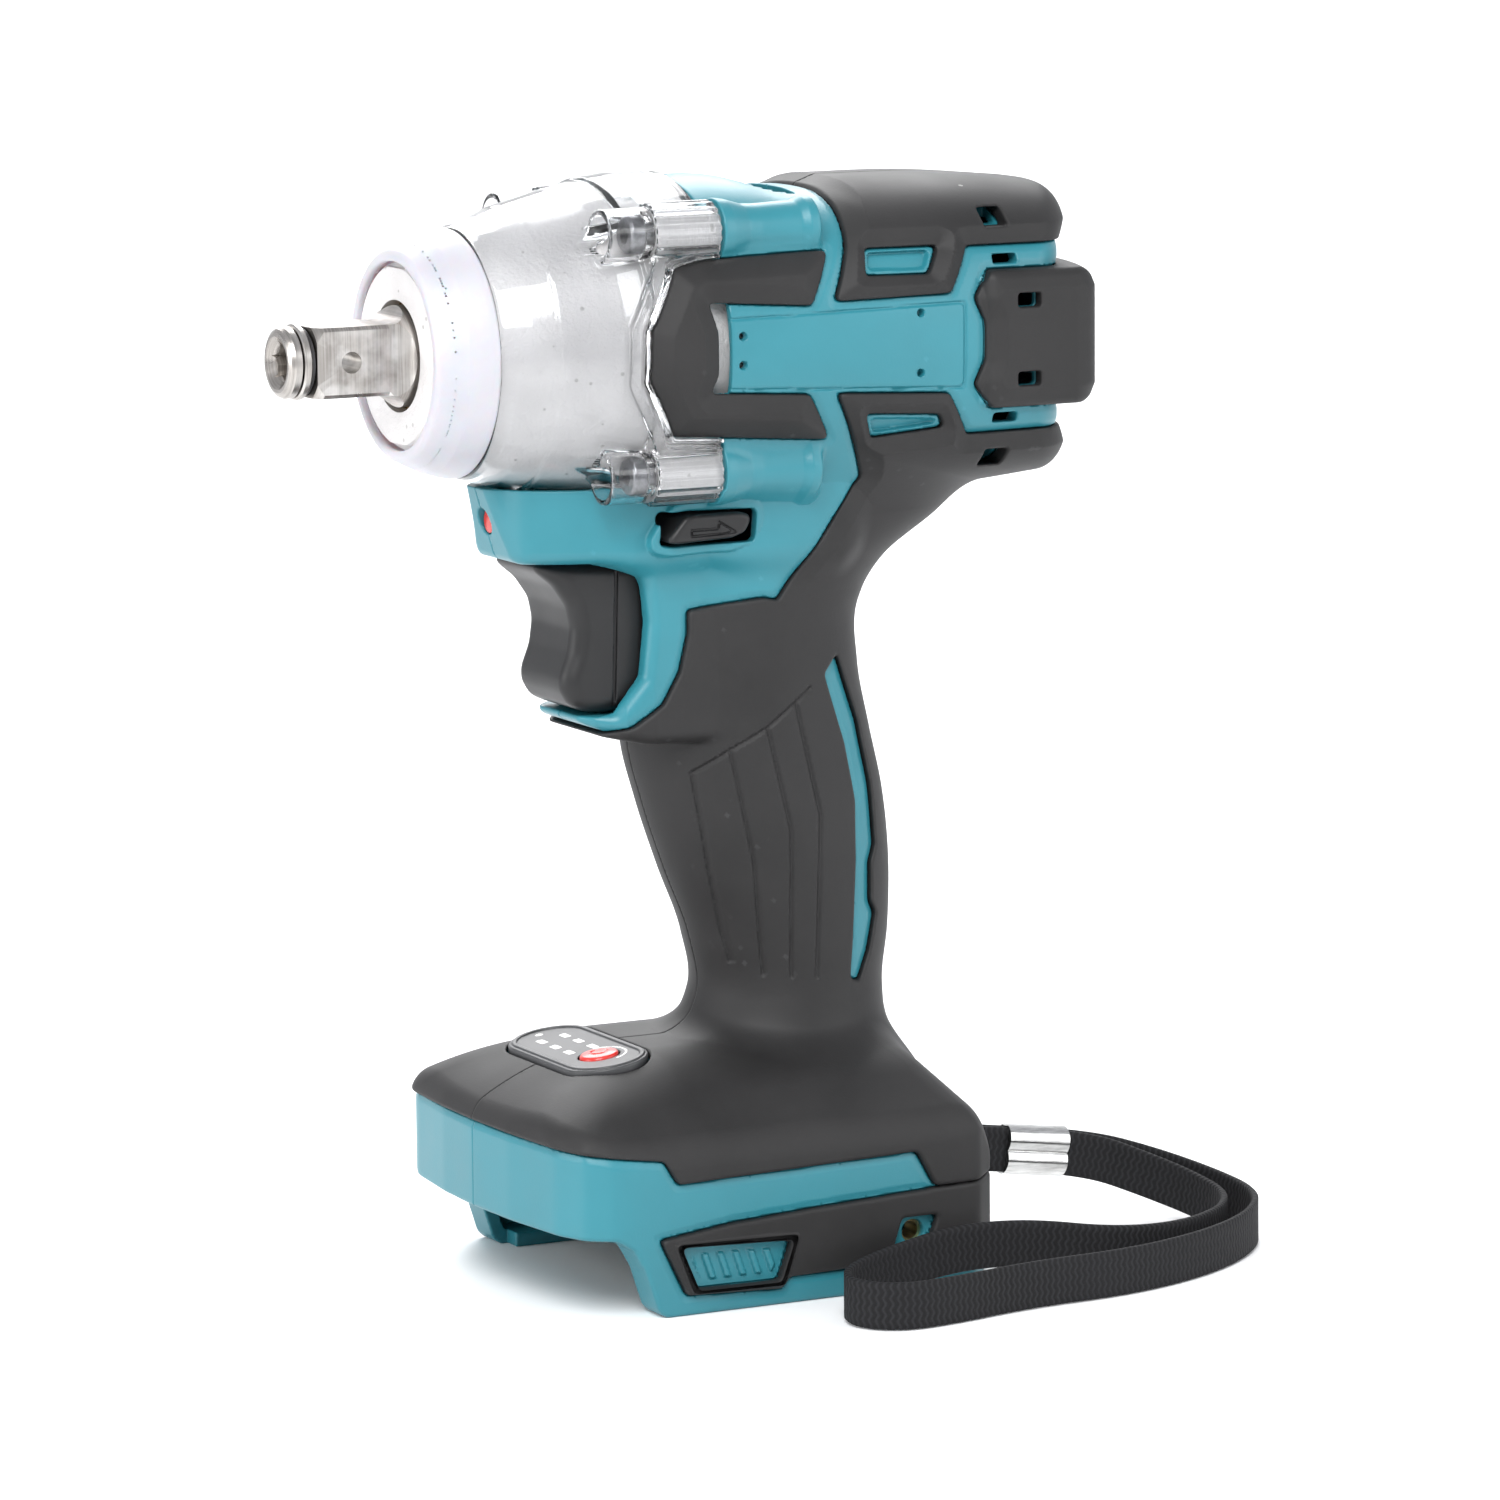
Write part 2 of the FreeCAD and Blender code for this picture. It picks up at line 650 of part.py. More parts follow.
# ---------------------------------------------------------------- planetary gears and motor
def ring_gear():
    thinning = -BACKLASH
    tip, root = MODULE * (RING / 2 - 1), MODULE * (RING / 2 + 1.25)
    spaces = gear_face(MODULE, RING, root, tip, thinning, math.radians(90), (0, AXIS),
        station(GEAR_FRONT - 1.4))
    bore = spaces.extrude(Vector(GEAR_REAR - GEAR_FRONT + 3, 0, 0))
    blank = cylinder_x(GEAR_FRONT - 4.6, GEAR_REAR + 3.2, size("ring_radius"))
    front_room = cylinder_x(GEAR_FRONT - 5, GEAR_FRONT - 1.2, size("carrier_radius") + 1.2)
    rear_room = cylinder_x(GEAR_REAR + 1.4, GEAR_REAR + 4, size("carrier_radius") + 1.2)
    return blank.cut(fused([bore, cylinder_x(GEAR_FRONT - 5, GEAR_REAR + 4, tip), front_room,
        rear_room]))


def planet_gear(angle):
    y, height = orbit_point(angle)
    tip, root = MODULE * (PLANET / 2 + 1), MODULE * (PLANET / 2 - 1.25)
    face = gear_face(MODULE, PLANET, tip, root, BACKLASH, angle, (y, height), station(GEAR_FRONT))
    bore = cylinder_x(GEAR_FRONT - 1, GEAR_REAR + 1, size("planet_pin_radius") + 0.05, y, height - AXIS)
    return face.extrude(Vector(GEAR_REAR - GEAR_FRONT, 0, 0)).cut(bore)


def planet_pins():
    pins = []
    for angle in PLANET_ANGLES:
        y, height = orbit_point(angle)
        pins.append(cylinder_x(size("carrier_front") + 0.1, size("carrier_rear") - 0.4,
            size("planet_pin_radius"), y, height - AXIS))
    return Part.makeCompound(pins)


def rotor_shaft():
    """Motor shaft with the sun pinion cut on its front end."""
    radius = size("rotor_shaft_radius")
    tip, root = MODULE * (SUN / 2 + 1), MODULE * (SUN / 2 - 1.25)
    pinion = gear_face(MODULE, SUN, tip, root, BACKLASH, math.radians(90), (0, AXIS),
        station(GEAR_FRONT + 0.3))
    pinion = pinion.extrude(Vector(GEAR_REAR - GEAR_FRONT + 0.4, 0, 0))
    shaft = turned_solid([
        (GEAR_REAR, 0), (GEAR_REAR, root - 0.2), (107.0, root - 0.2), (107.0, radius), (150, radius),
        (150, 0),
    ])
    return pinion.fuse(shaft)


STATOR_SLOTS = 6
STATOR_BORE = 14.1


def stator_core():
    """Laminated ring with six inward teeth."""
    front, rear, outer = size("stator_front"), size("stator_rear"), size("stator_radius")
    core = cylinder_x(front, rear, outer).cut(cylinder_x(front - 1, rear + 1, STATOR_BORE))
    trough = cylinder_x(front - 1, rear + 1, outer - 3.2).cut(cylinder_x(front - 2, rear + 2,
        STATOR_BORE + 1.6))
    mouths = []
    for slot in range(STATOR_SLOTS):
        middle = 360 * (slot + 0.5) / STATOR_SLOTS
        mouths.append(sector(front - 1, rear + 1, outer - 3.2, middle, 21).common(trough))
        mouths.append(sector(front - 1, rear + 1, STATOR_BORE + 2, middle, 3))
    for tooth in range(STATOR_SLOTS):
        room = block(front - 3, rear + 3, -5.75, 5.75, AXIS + STATOR_BORE + 2.0, AXIS + outer - 3.8)
        room = room.cut(block(front - 4, rear + 4, -4.2, 4.2, AXIS, AXIS + outer))
        room.rotate(Vector(0, 0, AXIS), Vector(1, 0, 0), 360 * tooth / STATOR_SLOTS)
        mouths.append(room)
    return core.cut(fused(mouths))


def stator_windings():
    """Six coils, one round each tooth, standing out at both ends of the core."""
    front, rear, outer = size("stator_front"), size("stator_rear"), size("stator_radius")
    coils = []
    for tooth in range(STATOR_SLOTS):
        outside = block(front - 2.3, rear + 1.6, -5.6, 5.6, AXIS + STATOR_BORE + 2.2,
            AXIS + outer - 4.0)
        inside = block(front - 0.2, rear + 0.2, -4.35, 4.35, AXIS, AXIS + outer)
        coil = outside.cut(inside)
        coil.rotate(Vector(0, 0, AXIS), Vector(1, 0, 0), 360 * tooth / STATOR_SLOTS)
        coils.append(coil)
    return Part.makeCompound(coils)


def fan():
    """Radial cooling fan: hub, back plate and curved-in blades."""
    front, rear, radius = 112.4, 115.0, 23.2
    hub = cylinder_x(front - 0.8, rear, 6.5)
    plate = cylinder_x(rear - 1.0, rear, radius)
    blade = block(front, rear - 0.5, 8.0, radius - 0.4, AXIS - 0.45, AXIS + 0.45)
    blade.rotate(Vector(0, 9, AXIS), Vector(1, 0, 0), 24)
    blades = []
    for index in range(11):
        copy = blade.copy()
        copy.rotate(Vector(0, 0, AXIS), Vector(1, 0, 0), 360 * index / 11)
        blades.append(copy.common(cylinder_x(front - 1, rear + 1, radius)))
    return fused([hub, plate] + blades).cut(cylinder_x(front - 2, rear + 1,
        size("rotor_shaft_radius") + 0.01))


def bearing(name, front, rear, inner, outer):
    """A shielded ball bearing: the shields sit back from both faces."""
    lip = f"({outer} - {inner}) / 4"
    turned_body(name, [
        (front, inner), (front, f"{inner} + {lip}"), (f"{front} + 0.4", f"{inner} + {lip}"),
        (f"{front} + 0.4", f"{outer} - {lip}"), (front, f"{outer} - {lip}"), (front, outer),
        (rear, outer),
        (rear, f"{outer} - {lip}"), (f"{rear} - 0.4", f"{outer} - {lip}"),
        (f"{rear} - 0.4", f"{inner} + {lip}"),
        (rear, f"{inner} + {lip}"), (rear, inner),
    ])


solid_node("ring_gear", ring_gear())
for index, angle in enumerate(PLANET_ANGLES, start=1):
    solid_node(f"planet_gear_{index}", planet_gear(angle))
solid_node("planet_pins", planet_pins())
solid_node("rotor_shaft", rotor_shaft())
turned_body("rotor_core", [("stator_front + 0.6", "rotor_shaft_radius + 0.01"),
    ("stator_front + 0.6", "rotor_radius - 0.5"),
                           ("stator_front + 1.1", "rotor_radius"),
                           ("stator_rear - 1.1", "rotor_radius"),
                           ("stator_rear - 0.6", "rotor_radius - 0.5"),
                           ("stator_rear - 0.6", "rotor_shaft_radius + 0.01")])
solid_node("stator_core", stator_core())
solid_node("stator_windings", stator_windings())
solid_node("fan", fan())
turned_body("bearing_box", [("carrier_rear + 0.3", "13.05"), ("carrier_rear + 0.3", "ring_radius"),
                            ("111.0", "ring_radius"), ("111.0", "bearing_radius + 0.05"),
                            ("107.2", "bearing_radius + 0.05"),
                            ("107.2", "5.0"), ("106.0", "5.0"), ("106.0", "13.05")])
bearing("spindle_bearing", "carrier_rear + 0.5", "carrier_rear + 4.5", "9.03", "13.0")
bearing("front_bearing", "107.3", "111.0", "rotor_shaft_radius + 0.03", "bearing_radius")
bearing("rear_bearing", "145.0", "149.0", "rotor_shaft_radius + 0.03", "bearing_radius")
turned_body("sensor_board", ring_outline("141.0", "142.4", "6.0", "17.0"))


# ---------------------------------------------------------------- housing forms
def ellipse_loop(centre, half_length, half_width, height):
    """A level ellipse, longest along the nose axis, as a wire."""
    ellipse = Part.Ellipse(Vector(station(centre), 0, height), half_length, half_width)
    return Part.Wire(ellipse.toShape())


# middle station, half length and half width of the grip, by height above the ground
GRIP_SECTIONS = [
    (38.0, 97.0, 27.0, 25.0), (44.5, 99.7, 20.5, 18.6), (51.0, 101.0, 18.5, 17.0),
    (62.0, 101.0, 19.8, 17.0),
    (75.0, 98.7, 22.5, 17.4), (88.0, 95.8, 24.1, 17.8), (100.0, 93.0, 24.2, 18.0),
    (112.0, 92.5, 22.2, 18.2),
    (124.0, 92.4, 22.6, 18.6), (132.0, 93.4, 27.0, 19.2), (140.0, 96.0, 38.0, 20.0),
    (150.0, 99.0, 44.0, 22.0),
]
CHIN_SIDE = [(41.0, 6.5), (43.5, 9.8), (48.0, 13.2), (56.0, 16.2), (66.0, 18.4), (78.0, 19.6),
    (102.0, 19.8)]
SCREW_POSTS = [(54.0, -31.0), (106.0, -48.0), (97.0, -86.0), (101.5, -120.0), (44.5, -142.5),
    (113.5, -141.0), (143.2, -21.0)]
GUARD = [(58, -36), (65.6, -40.5), (66.5, -50), (65.4, -59.5), (60, -66.3), (53, -64.1), (53.4, -66.4),
    (58.6, -68.6),
         (66, -70.5), (92, -72), (92, -36)]


def chin_form(grow):
    """The block under the nose that carries the lamp: narrow in front, wider behind."""
    side = [Vector(station(along), -(half + grow), AXIS - 38.0 - grow) for along, half in CHIN_SIDE]
    side[0] = side[0] - Vector(grow, 0, 0)
    near = Part.BSplineCurve()
    near.interpolate(side)
    far_points = [Vector(point.x, -point.y, point.z) for point in reversed(side)]
    far = Part.BSplineCurve()
    far.interpolate(far_points)
    edges = [near.toShape(), Part.LineSegment(side[-1], far_points[0]).toShape(), far.toShape(),
             Part.LineSegment(far_points[-1], side[0]).toShape()]
    prism = Part.Face(Part.Wire(edges)).extrude(Vector(0, 0, 20.0 + grow))
    rake = side_prism([(30, -10), (38.4 - grow, -24), (42.6 - grow, -38 - grow), (30, -50)], -30, 30)
    return prism.cut(rake)


def head_form(grow):
    """Round barrel behind the nose, boxy motor tail and the cap that stands out behind it."""
    barrel = cylinder_x(size("barrel_front"), 104, size("barrel_radius") + grow)
    half_width, half_height = size("tail_half_width") + grow, size("tail_half_height") + grow
    tail = softened_box(size("tail_front"), size("tail_rear") + grow, half_width, AXIS - half_height,
        AXIS + half_height,
                        16 + grow, 12 + grow)
    cap_half = size("cap_half_height") + grow
    cap = block(125, size("overall_length") + grow, -half_width, half_width, AXIS - cap_half,
        AXIS + cap_half)
    plan = rounded_loop(90, size("overall_length") + grow, half_width - 0.3, 14 + grow,
        AXIS - cap_half - 1)
    cap = cap.common(Part.Face(plan).extrude(Vector(0, 0, 2 * cap_half + 2)))
    return fused([barrel, tail, cap])


def grip_form(grow):
    loops = [ellipse_loop(middle, half_length + grow, half_width + grow, height)
             for height, middle, half_length, half_width in GRIP_SECTIONS]
    return Part.makeLoft(loops, True, False)


def deck_form(grow):
    """The sloping top of the foot, from the band line up to the deck round the grip."""
    front, rear = size("foot_front"), size("foot_rear")
    half = size("overall_width") / 2
    band, deck = size("band_height"), size("deck_height") + grow
    loops = [
        rounded_loop(front - grow, rear + grow, half + grow, 12 + grow, band - 10),
        rounded_loop(front - grow, rear - 5 + grow, half - 1 + grow, 12 + grow, band),
        rounded_loop(front + 5.0 - grow, rear - 9 + grow, half - 6 + grow, 12 + grow, deck - 5.2),
        rounded_loop(front + 12 - grow, rear - 13 + grow, half - 18 + grow, 12 + grow, deck),
    ]
    return Part.makeLoft(loops, True, True)


def outer_form(grow):
    guard = side_prism(GUARD, -15.4 - grow, 15.4 + grow)
    return fused([head_form(grow), chin_form(grow), grip_form(grow), deck_form(grow), guard])


def foot_base():
    """The straight-walled lower foot with its raised front skirt."""
    plan = rounded_loop(size("foot_front"), size("foot_rear"), size("overall_width") / 2, 12, 0)
    base = Part.Face(plan).extrude(Vector(0, 0, size("band_height") - 10))
    skirt = size("skirt_height")
    under_skirt = side_prism([(20, -5), (57, -5), (55, 2), (50.6, skirt - 1.4), (47.5, skirt),
        (20, skirt)], -60, 60, 0)
    channel = block(20, 118.5, -size("channel_half_width"), size("channel_half_width"), -1,
        size("channel_height"))
    return base.cut(fused([under_skirt, channel]))


def battery_rails():
    half = size("channel_half_width")
    return both_sides(block(58, 118.6, half - 4, half + 0.1, 0, 3.4))


def stadium(front, rear, half_width, low, high):
    """An upright plug with a rounded-end outline, long across the tool."""
    radius = (rear - front) / 2 - 0.01
    return Part.Face(rounded_loop(front, rear, half_width, radius, low)).extrude(Vector(0, 0,
        high - low))


def hollows():
    """Everything that is taken out of the housing, as a list of solids."""
    inner = -SKIN - WALL
    cavity = fused([head_form(inner), chin_form(inner), grip_form(inner)])
    foot_cavity = deck_form(inner).cut(block(0, 200, -60, 60, 0, size("channel_height") + WALL))
    case_room = turned_solid([(30, 0), (30, 19.8), (33.8, 21.4), (45, 25.0), (56, 27.0),
        (60, size("case_radius") + 0.3),
                              (size("case_rear") + 0.3, size("case_radius") + 0.3),
                              (size("case_rear") + 0.3, 0)])
    y, z = size("boss_offset_y"), size("boss_offset_z")
    boss_room = all_corners(cylinder_x(size("boss_front") - 1, size("boss_joint"),
        size("boss_radius") + GAP, y, z))
    trigger_room = block(52, 76.2, -11.2, 11.2, AXIS - 66.7, AXIS - 37.9)
    lever_slot = block(66.2, 84.8, -30, 30, AXIS - 35.1, AXIS - 29.1)
    lamp_hole = cylinder_x(36, 52, 2.35, 0, -30.9)
    strap_slot = block(121, 140, -3.4, 3.4, 12.4, 23.2)
    panel_hole = stadium(49.8, 66.2, 19.2, 36, 50)
    hooks = both_sides(cylinder_y(2.3, 107.4, 10.5, 45,
        30).fuse(cylinder_y(3.45, 107.4, 10.5, 36.9, 31.0)))
    vents = []
    for drop, half in ((21.8, 1.6), (14.4, 1.3), (7.3, 1.7)):
        for side in (1, -1):
            vents.append(block(130.6, 136.2, -45, 45, AXIS + side * drop - half,
                AXIS + side * drop + half))
    for low in (12.6, -16.8):
        vents.append(block(104, 118.4, -45, 45, AXIS + low, AXIS + low + 4.2))
    return [cavity, foot_cavity, case_room, boss_room, trigger_room, lever_slot, lamp_hole, strap_slot,
        panel_hole, hooks] + vents


# ---------------------------------------------------------------- housing halves and grip skins
REAR_TOP = [(104, 40), (104, 27), (102.6, 24), (100.7, 18.2), (96.3, 8.5), (120.2, 8.9), (124.9, 17),
    (160, 17), (160, 40)]
REAR_CAP = [(128.1, 12.8), (125, 7.8), (127, 0), (125, -7.8), (128.4, -12.8), (160, -12.8), (160, 12.8)]
SIDE_PANEL = [(50, 16.2), (97, 17.6), (91.8, 8.2), (71.8, 8.2), (73.2, 4.4), (73.2, -3.9), (71.8, -7.4),
    (91.3, -8.0),
              (96.8, -16.6), (77, -15.8), (50, -15.8)]
FOOT_TOP = [(30, -141.5), (56, -143.5), (59.3, -148.5), (107.6, -147.4), (110, -157), (112, -166),
    (160, -166),
            (160, -100), (30, -100)]
GRIP_SIDE = [(96.6, -8), (119.8, -9.2), (125.1, -17.4), (160, -17.4), (160, -105), (50, -105),
    (50, -67.7), (62.8, -67.7),
             (68.7, -64.6), (72, -59), (73.7, -52.1), (73.7, -47.7), (88, -46), (105.7, -24.5)]


GRIP_STRIP = [(104.5, -58.2), (101.4, -61.3), (106.2, -74.4), (108.4, -85.4), (108.2, -97.3),
    (106.9, -118.7), (108.9, -119.4),
              (111.3, -114.3), (113.2, -107.3), (111.7, -104.8), (111.9, -97.6), (113.4, -94.7),
              (112.8, -83.3), (110.2, -71.2)]


def front_cutter():
    """What the clear cover takes away from the front of the barrel, above the chin."""
    above = side_prism([(40, 45), (75.7, 45), (75.7, CHEVRON_HALF_HEIGHT), (66, CHEVRON_HALF_HEIGHT),
        (60, 4.8),
                        (59.6, -4.2), (65.6, -CHEVRON_HALF_HEIGHT), (75.7, -CHEVRON_HALF_HEIGHT),
                        (75.7, -CHIN_DROP),
                        (40, -CHIN_DROP)], -60, 60)
    below = side_prism([(40, -CHIN_DROP + 0.01), (75.7, -CHIN_DROP + 0.01), (75.7, -40), (40, -40)],
        -60, 60)
    outside_chin = below.cut(chin_form(0).fuse(turned_solid([(40, 0), (40, 10), (76, 10), (76, 0)])))
    return above.fuse(outside_chin)


def whole_shell():
    """Both housing halves with their skins, before they are parted."""
    y, z = size("boss_offset_y"), size("boss_offset_z")
    bosses = all_corners(cylinder_x(size("boss_joint"), size("boss_rear"), size("boss_radius") - 0.1, y,
        z))
    shell = outer_form(0).cut(front_cutter()).multiFuse([foot_base(), bosses])
    for hollow in hollows():
        shell = shell.cut(hollow)
    return shell.fuse(battery_rails())


def inner_supports():
    """Ribs round the motor and gearbox, the rear bearing seat and the screw posts."""
    inside = fused([head_form(-SKIN - WALL + 0.01), chin_form(-SKIN - WALL + 0.01),
        grip_form(-SKIN - WALL + 0.01)])
    foot_inside = deck_form(-SKIN - WALL + 0.01)
    supports = []
    for front, radius in ((90.0, size("ring_radius")), (104.5, size("ring_radius")),
        (121.0, size("stator_radius")),
                          (133.0, size("stator_radius"))):
        disc = block(front, front + 2, -40, 40, AXIS - 27.6, AXIS + 27.6)
        supports.append(disc.cut(cylinder_x(front - 1, front + 3, radius + 0.05)).common(inside))
    seat = cylinder_x(144.7, 152, 10.5).cut(cylinder_x(144.5, 149.4, size("bearing_radius") + 0.04))
    supports.append(seat.cut(cylinder_x(149, 151, 3.6)))
    for where, drop in SCREW_POSTS:
        post = cylinder_y(3.4, where, AXIS + drop, 40)
        supports.append(post.common(foot_inside if drop < -130 else inside))
    return supports


def screw_bores():
    bores = []
    for where, drop in SCREW_POSTS:
        bores.append(cylinder_y(1.55, where, AXIS + drop, 60, -9.2))
        bores.append(cylinder_y(3.1, where, AXIS + drop, 60, 9.0))
    return fused(bores)


def black_zone():
    """The areas that carry the soft skin, as prisms across the tool."""
    zones = [side_prism(outline, -60, 60) for outline in (REAR_TOP, REAR_CAP, SIDE_PANEL, GRIP_SIDE,
        FOOT_TOP)]
    return [zone.cut(side_prism(GRIP_STRIP, -60, 60)) for zone in zones]


def skin_layer(shell):
    """The outer layer of the shell, one skin thick, inside the soft areas."""
    core = fused([outer_form(-SKIN), battery_rails()])
    low_core = Part.Face(rounded_loop(size("foot_front") + SKIN, size("foot_rear") - SKIN,
                                      size("overall_width") / 2 - SKIN, 12 - SKIN,
                                      -1)).extrude(Vector(0, 0, 25))
    layer = shell.cut(core.fuse(low_core))
    pieces = [layer.common(zone) for zone in black_zone()]
    return fused(pieces)


def without_crumbs(shape, smallest=2.0):
    """The shape without crumbs: only its solids above a volume in cubic millimetres."""
    return Part.makeCompound([solid for solid in shape.Solids if solid.Volume > smallest])


def housing_and_skin():
    shell = whole_shell()
    skin = skin_layer(shell)
    hard = shell.cut(skin)
    keep_out = fused([cylinder_x(52, size("case_rear") + GAP, size("case_radius") + GAP),
                      block(50, 100.8, -9.8, 9.8, AXIS - 68, AXIS - 39)])
    for support in inner_supports():
        hard = hard.fuse(support.cut(keep_out) if support.BoundBox.YLength > 15 else support)
    y, z = size("boss_offset_y"), size("boss_offset_z")
    bored = hard.cut(all_corners(cylinder_x(size("boss_joint") - 1, size("boss_rear") - 1.2, 1.95, y,
        z)))
    bored = bored.cut(screw_bores()).cut(Part.makeCylinder(1.53, 14.4, Vector(station(124), 0, 10.9)))
    return bored, skin.cut(screw_bores())


def parted(shape, side):
    """The half of a shape on one side of the tool's middle plane."""
    low, high = (-60, 0) if side < 0 else (0, 60)
    return without_crumbs(shape.common(block(-10, 200, low, high, -10, 260)))


hard_shell, soft_skin = housing_and_skin()
for side_name, side in (("left", -1), ("right", 1)):
    solid_node(f"{side_name}_housing", parted(hard_shell, side))
    solid_node(f"{side_name}_overmould", parted(soft_skin, side))


def housing_screws():
    screws = []
    for where, drop in SCREW_POSTS:
        shank = cylinder_y(1.5, where, AXIS + drop, 9.2, -8.8)
        head = cylinder_y(2.9, where, AXIS + drop, 11.2, 9.05)
        slot = block(where - 2.2, where + 2.2, 10.2, 12, AXIS + drop - 0.4, AXIS + drop + 0.4)
        cross = block(where - 0.4, where + 0.4, 10.2, 12, AXIS + drop - 2.2, AXIS + drop + 2.2)
        screws.append(head.fuse(shank).cut(slot.fuse(cross)))
    return Part.makeCompound(screws)


solid_node("housing_screws", housing_screws())


# ---------------------------------------------------------------- trigger, switch and lever
def trigger():
    """Finger trigger: a hollowed block whose front is two scallops, with its switch stem."""
    half = size("trigger_half_width")
    corners = [Vector(station(along), 0, AXIS + drop) for along, drop in
               [(46.8, -38.6), (54.2, -47.5), (52.3, -60.2), (54.5, -65.2), (59.5, -66.2),
               (67.5, -66.2), (68, -38.6)]]
    front = Part.BSplineCurve()
    front.interpolate([corners[0], Vector(station(52.2), 0, AXIS - 43.4), corners[1],
        Vector(station(54.2), 0, AXIS - 53.5),
                       corners[2], Vector(station(52.4), 0, AXIS - 63.2), corners[3]])
    edges = [front.toShape()]
    for start, end in zip(corners[3:], corners[4:] + corners[:1]):
        edges.append(Part.LineSegment(start, end).toShape())
    body = Part.Face(Part.Wire(edges)).extrude(Vector(0, half * 2, 0))
    body.translate(Vector(0, -half, 0))
    nose = Part.Face(rounded_loop(44, 90, half, 8.5, AXIS - 70)).extrude(Vector(0, 0, 40))
    body = body.common(nose)
    spring_pocket = cylinder_x(62, 69, 4.6, 0, -52)
    stem = cylinder_x(58, 84, 1.9, 0, -52)
    return body.cut(spring_pocket).fuse(stem)


def direction_lever():
    """Push-through bar with a rounded, slanted pad at each end."""
    half = size("lever_half_length")
    pad = [(67.6, -33.2), (69.4, -30.4), (71.4, -29.5), (84.0, -29.5), (84.2, -31), (82.6, -33.8),
        (80.8, -34.7), (69.4, -34.7)]
    bar = side_prism(pad, -half, half)
    waist = side_prism([(60, -20), (90, -20), (90, -40), (60, -40)], -half + 6, half - 6)
    core = side_prism([(72, -30), (80, -30), (80, -34), (72, -34)], -half, half)
    return bar.cut(waist).fuse(core)


solid_node("trigger", trigger())
solid_node("trigger_spring", coil(62.2, 75.9, 3.4, 0.45, 6, -52))
solid_node("direction_lever", direction_lever())


def bound_box(name, front, length, half_width, low, height):
    """A Part::Box across the middle plane whose sides are sheet expressions."""
    box = doc.addObject("Part::Box", name)
    box.setExpression("Length", bound(length))
    box.setExpression("Width", bound(f"2 * ({half_width})"))
    box.setExpression("Height", bound(height))
    box.setExpression("Placement.Base.x", bound(f"{front} - overall_length / 2"))
    box.setExpression("Placement.Base.y", bound(f"-({half_width})"))
    box.setExpression("Placement.Base.z", bound(low))
    return box


def bound_rod(name, radius, length, where, low, turned=False):
    """A Part::Cylinder on the middle plane, upright or along the nose axis."""
    rod = doc.addObject("Part::Cylinder", name)
    rod.setExpression("Radius", bound(radius))
    rod.setExpression("Height", bound(length))
    if turned:
        rod.Placement = Placement(Vector(0, 0, 0), Rotation(Vector(0, 1, 0), 90))
    rod.setExpression("Placement.Base.x", bound(f"{where} - overall_length / 2"))
    rod.setExpression("Placement.Base.z", bound(low))
    return rod


def bound_cut(name, base, tool):
    cut = doc.addObject("Part::Cut", name)
    cut.Base = base
    cut.Tool = tool
    return keep(name, cut)


switch_case = bound_box("switch_case", "76.3", "24", "7.6", "axis_height - 66", "23")
switch_bore = bound_rod("switch_bore", "2.3", "16", "76", "axis_height - 52", True)
bound_cut("trigger_switch", switch_case, switch_bore)
keep("led_lens", bound_rod("led_lens", "2.2", "5.5", "41.4", "axis_height - 30.9", True))
keep("led_board", bound_box("led_board", "47.2", "1.2", "4.5", "axis_height - 33.4", "5"))


# ---------------------------------------------------------------- foot
def display_panel():
    plate = stadium(50, 66, 19, 40.2, 43.4)
    y = -8.1
    return plate.cut(Part.makeCylinder(3.9, 10, Vector(station(58.4), y, 38)))


def terminal_blades():
    blades = [block(76, 93, y - 0.4, y + 0.4, 6.2, 11.4) for y in (-10.0, 0.0, 10.0)]
    return Part.makeCompound(blades)


def hook_inserts():
    nut = cylinder_y(3.4, 107.4, 10.5, 36.8, 31.9).cut(cylinder_y(1.65, 107.4, 10.5, 40, 30))
    return Part.makeCompound([nut, mirrored(nut)])


solid_node("display_panel", display_panel())
mode_button = doc.addObject("Part::Cylinder", "mode_button")
mode_button.Radius = 3.7
mode_button.Height = 4.6
mode_button.setExpression("Placement.Base.x", bound("58.4 - overall_length / 2"))
mode_button.setExpression("Placement.Base.y", "-8.1")
mode_button.setExpression("Placement.Base.z", bound("deck_height - 3.9"))
keep("mode_button", mode_button)
keep("display_board", bound_box("display_board", "51.6", "13", "14", "36.4", "1.4"))
keep("controller", bound_box("controller", "64", "42", "24", "channel_height + 7.2", "8"))
block_body = bound_box("terminal_block_body", "92", "25.4", "14", "4.6", "channel_height - 4.6")
blade_room = bound_box("terminal_block_room", "91.9", "1.2", "10.5", "6.1", "5.4")
bound_cut("terminal_block", block_body, blade_room)
solid_node("terminal_blades", terminal_blades())
solid_node("hook_inserts", hook_inserts())
keep("strap_pin", bound_rod("strap_pin", "1.5", "14", "124", "11.1"))


# ---------------------------------------------------------------- wrist strap
ROUTE = [
    (46.5, 2.2, 18.0), (62.5, 0.78, 15.8), (88.0, 0.78, 12.2), (99.5, -5.0, 8.8), (107.5, -17.0, 5.6),
    (107.5, -31.5, 4.7), (98.5, -45.0, 4.5), (82.5, -56.5, 4.5), (62.0, -63.5, 4.5), (40.0, -64.0, 4.5),
    (21.5, -68.2, 4.5), (10.5, -68.6, 4.5), (4.5, -61.5, 4.6), (8.0, -52.8, 5.0), (19.5, -47.6, 6.2),
    (34.5, -46.0, 8.4), (49.0, -47.2, 8.2), (63.5, -53.0, 6.2), (79.0, -50.5, 5.0), (93.5, -41.5, 4.6),
    (101.5, -30.5, 4.8), (101.8, -18.5, 5.9), (96.5, -9.0, 8.6), (87.5, -0.78, 12.3),
    (62.5, -0.78, 15.8),
    (46.5, -2.2, 18.0),
]
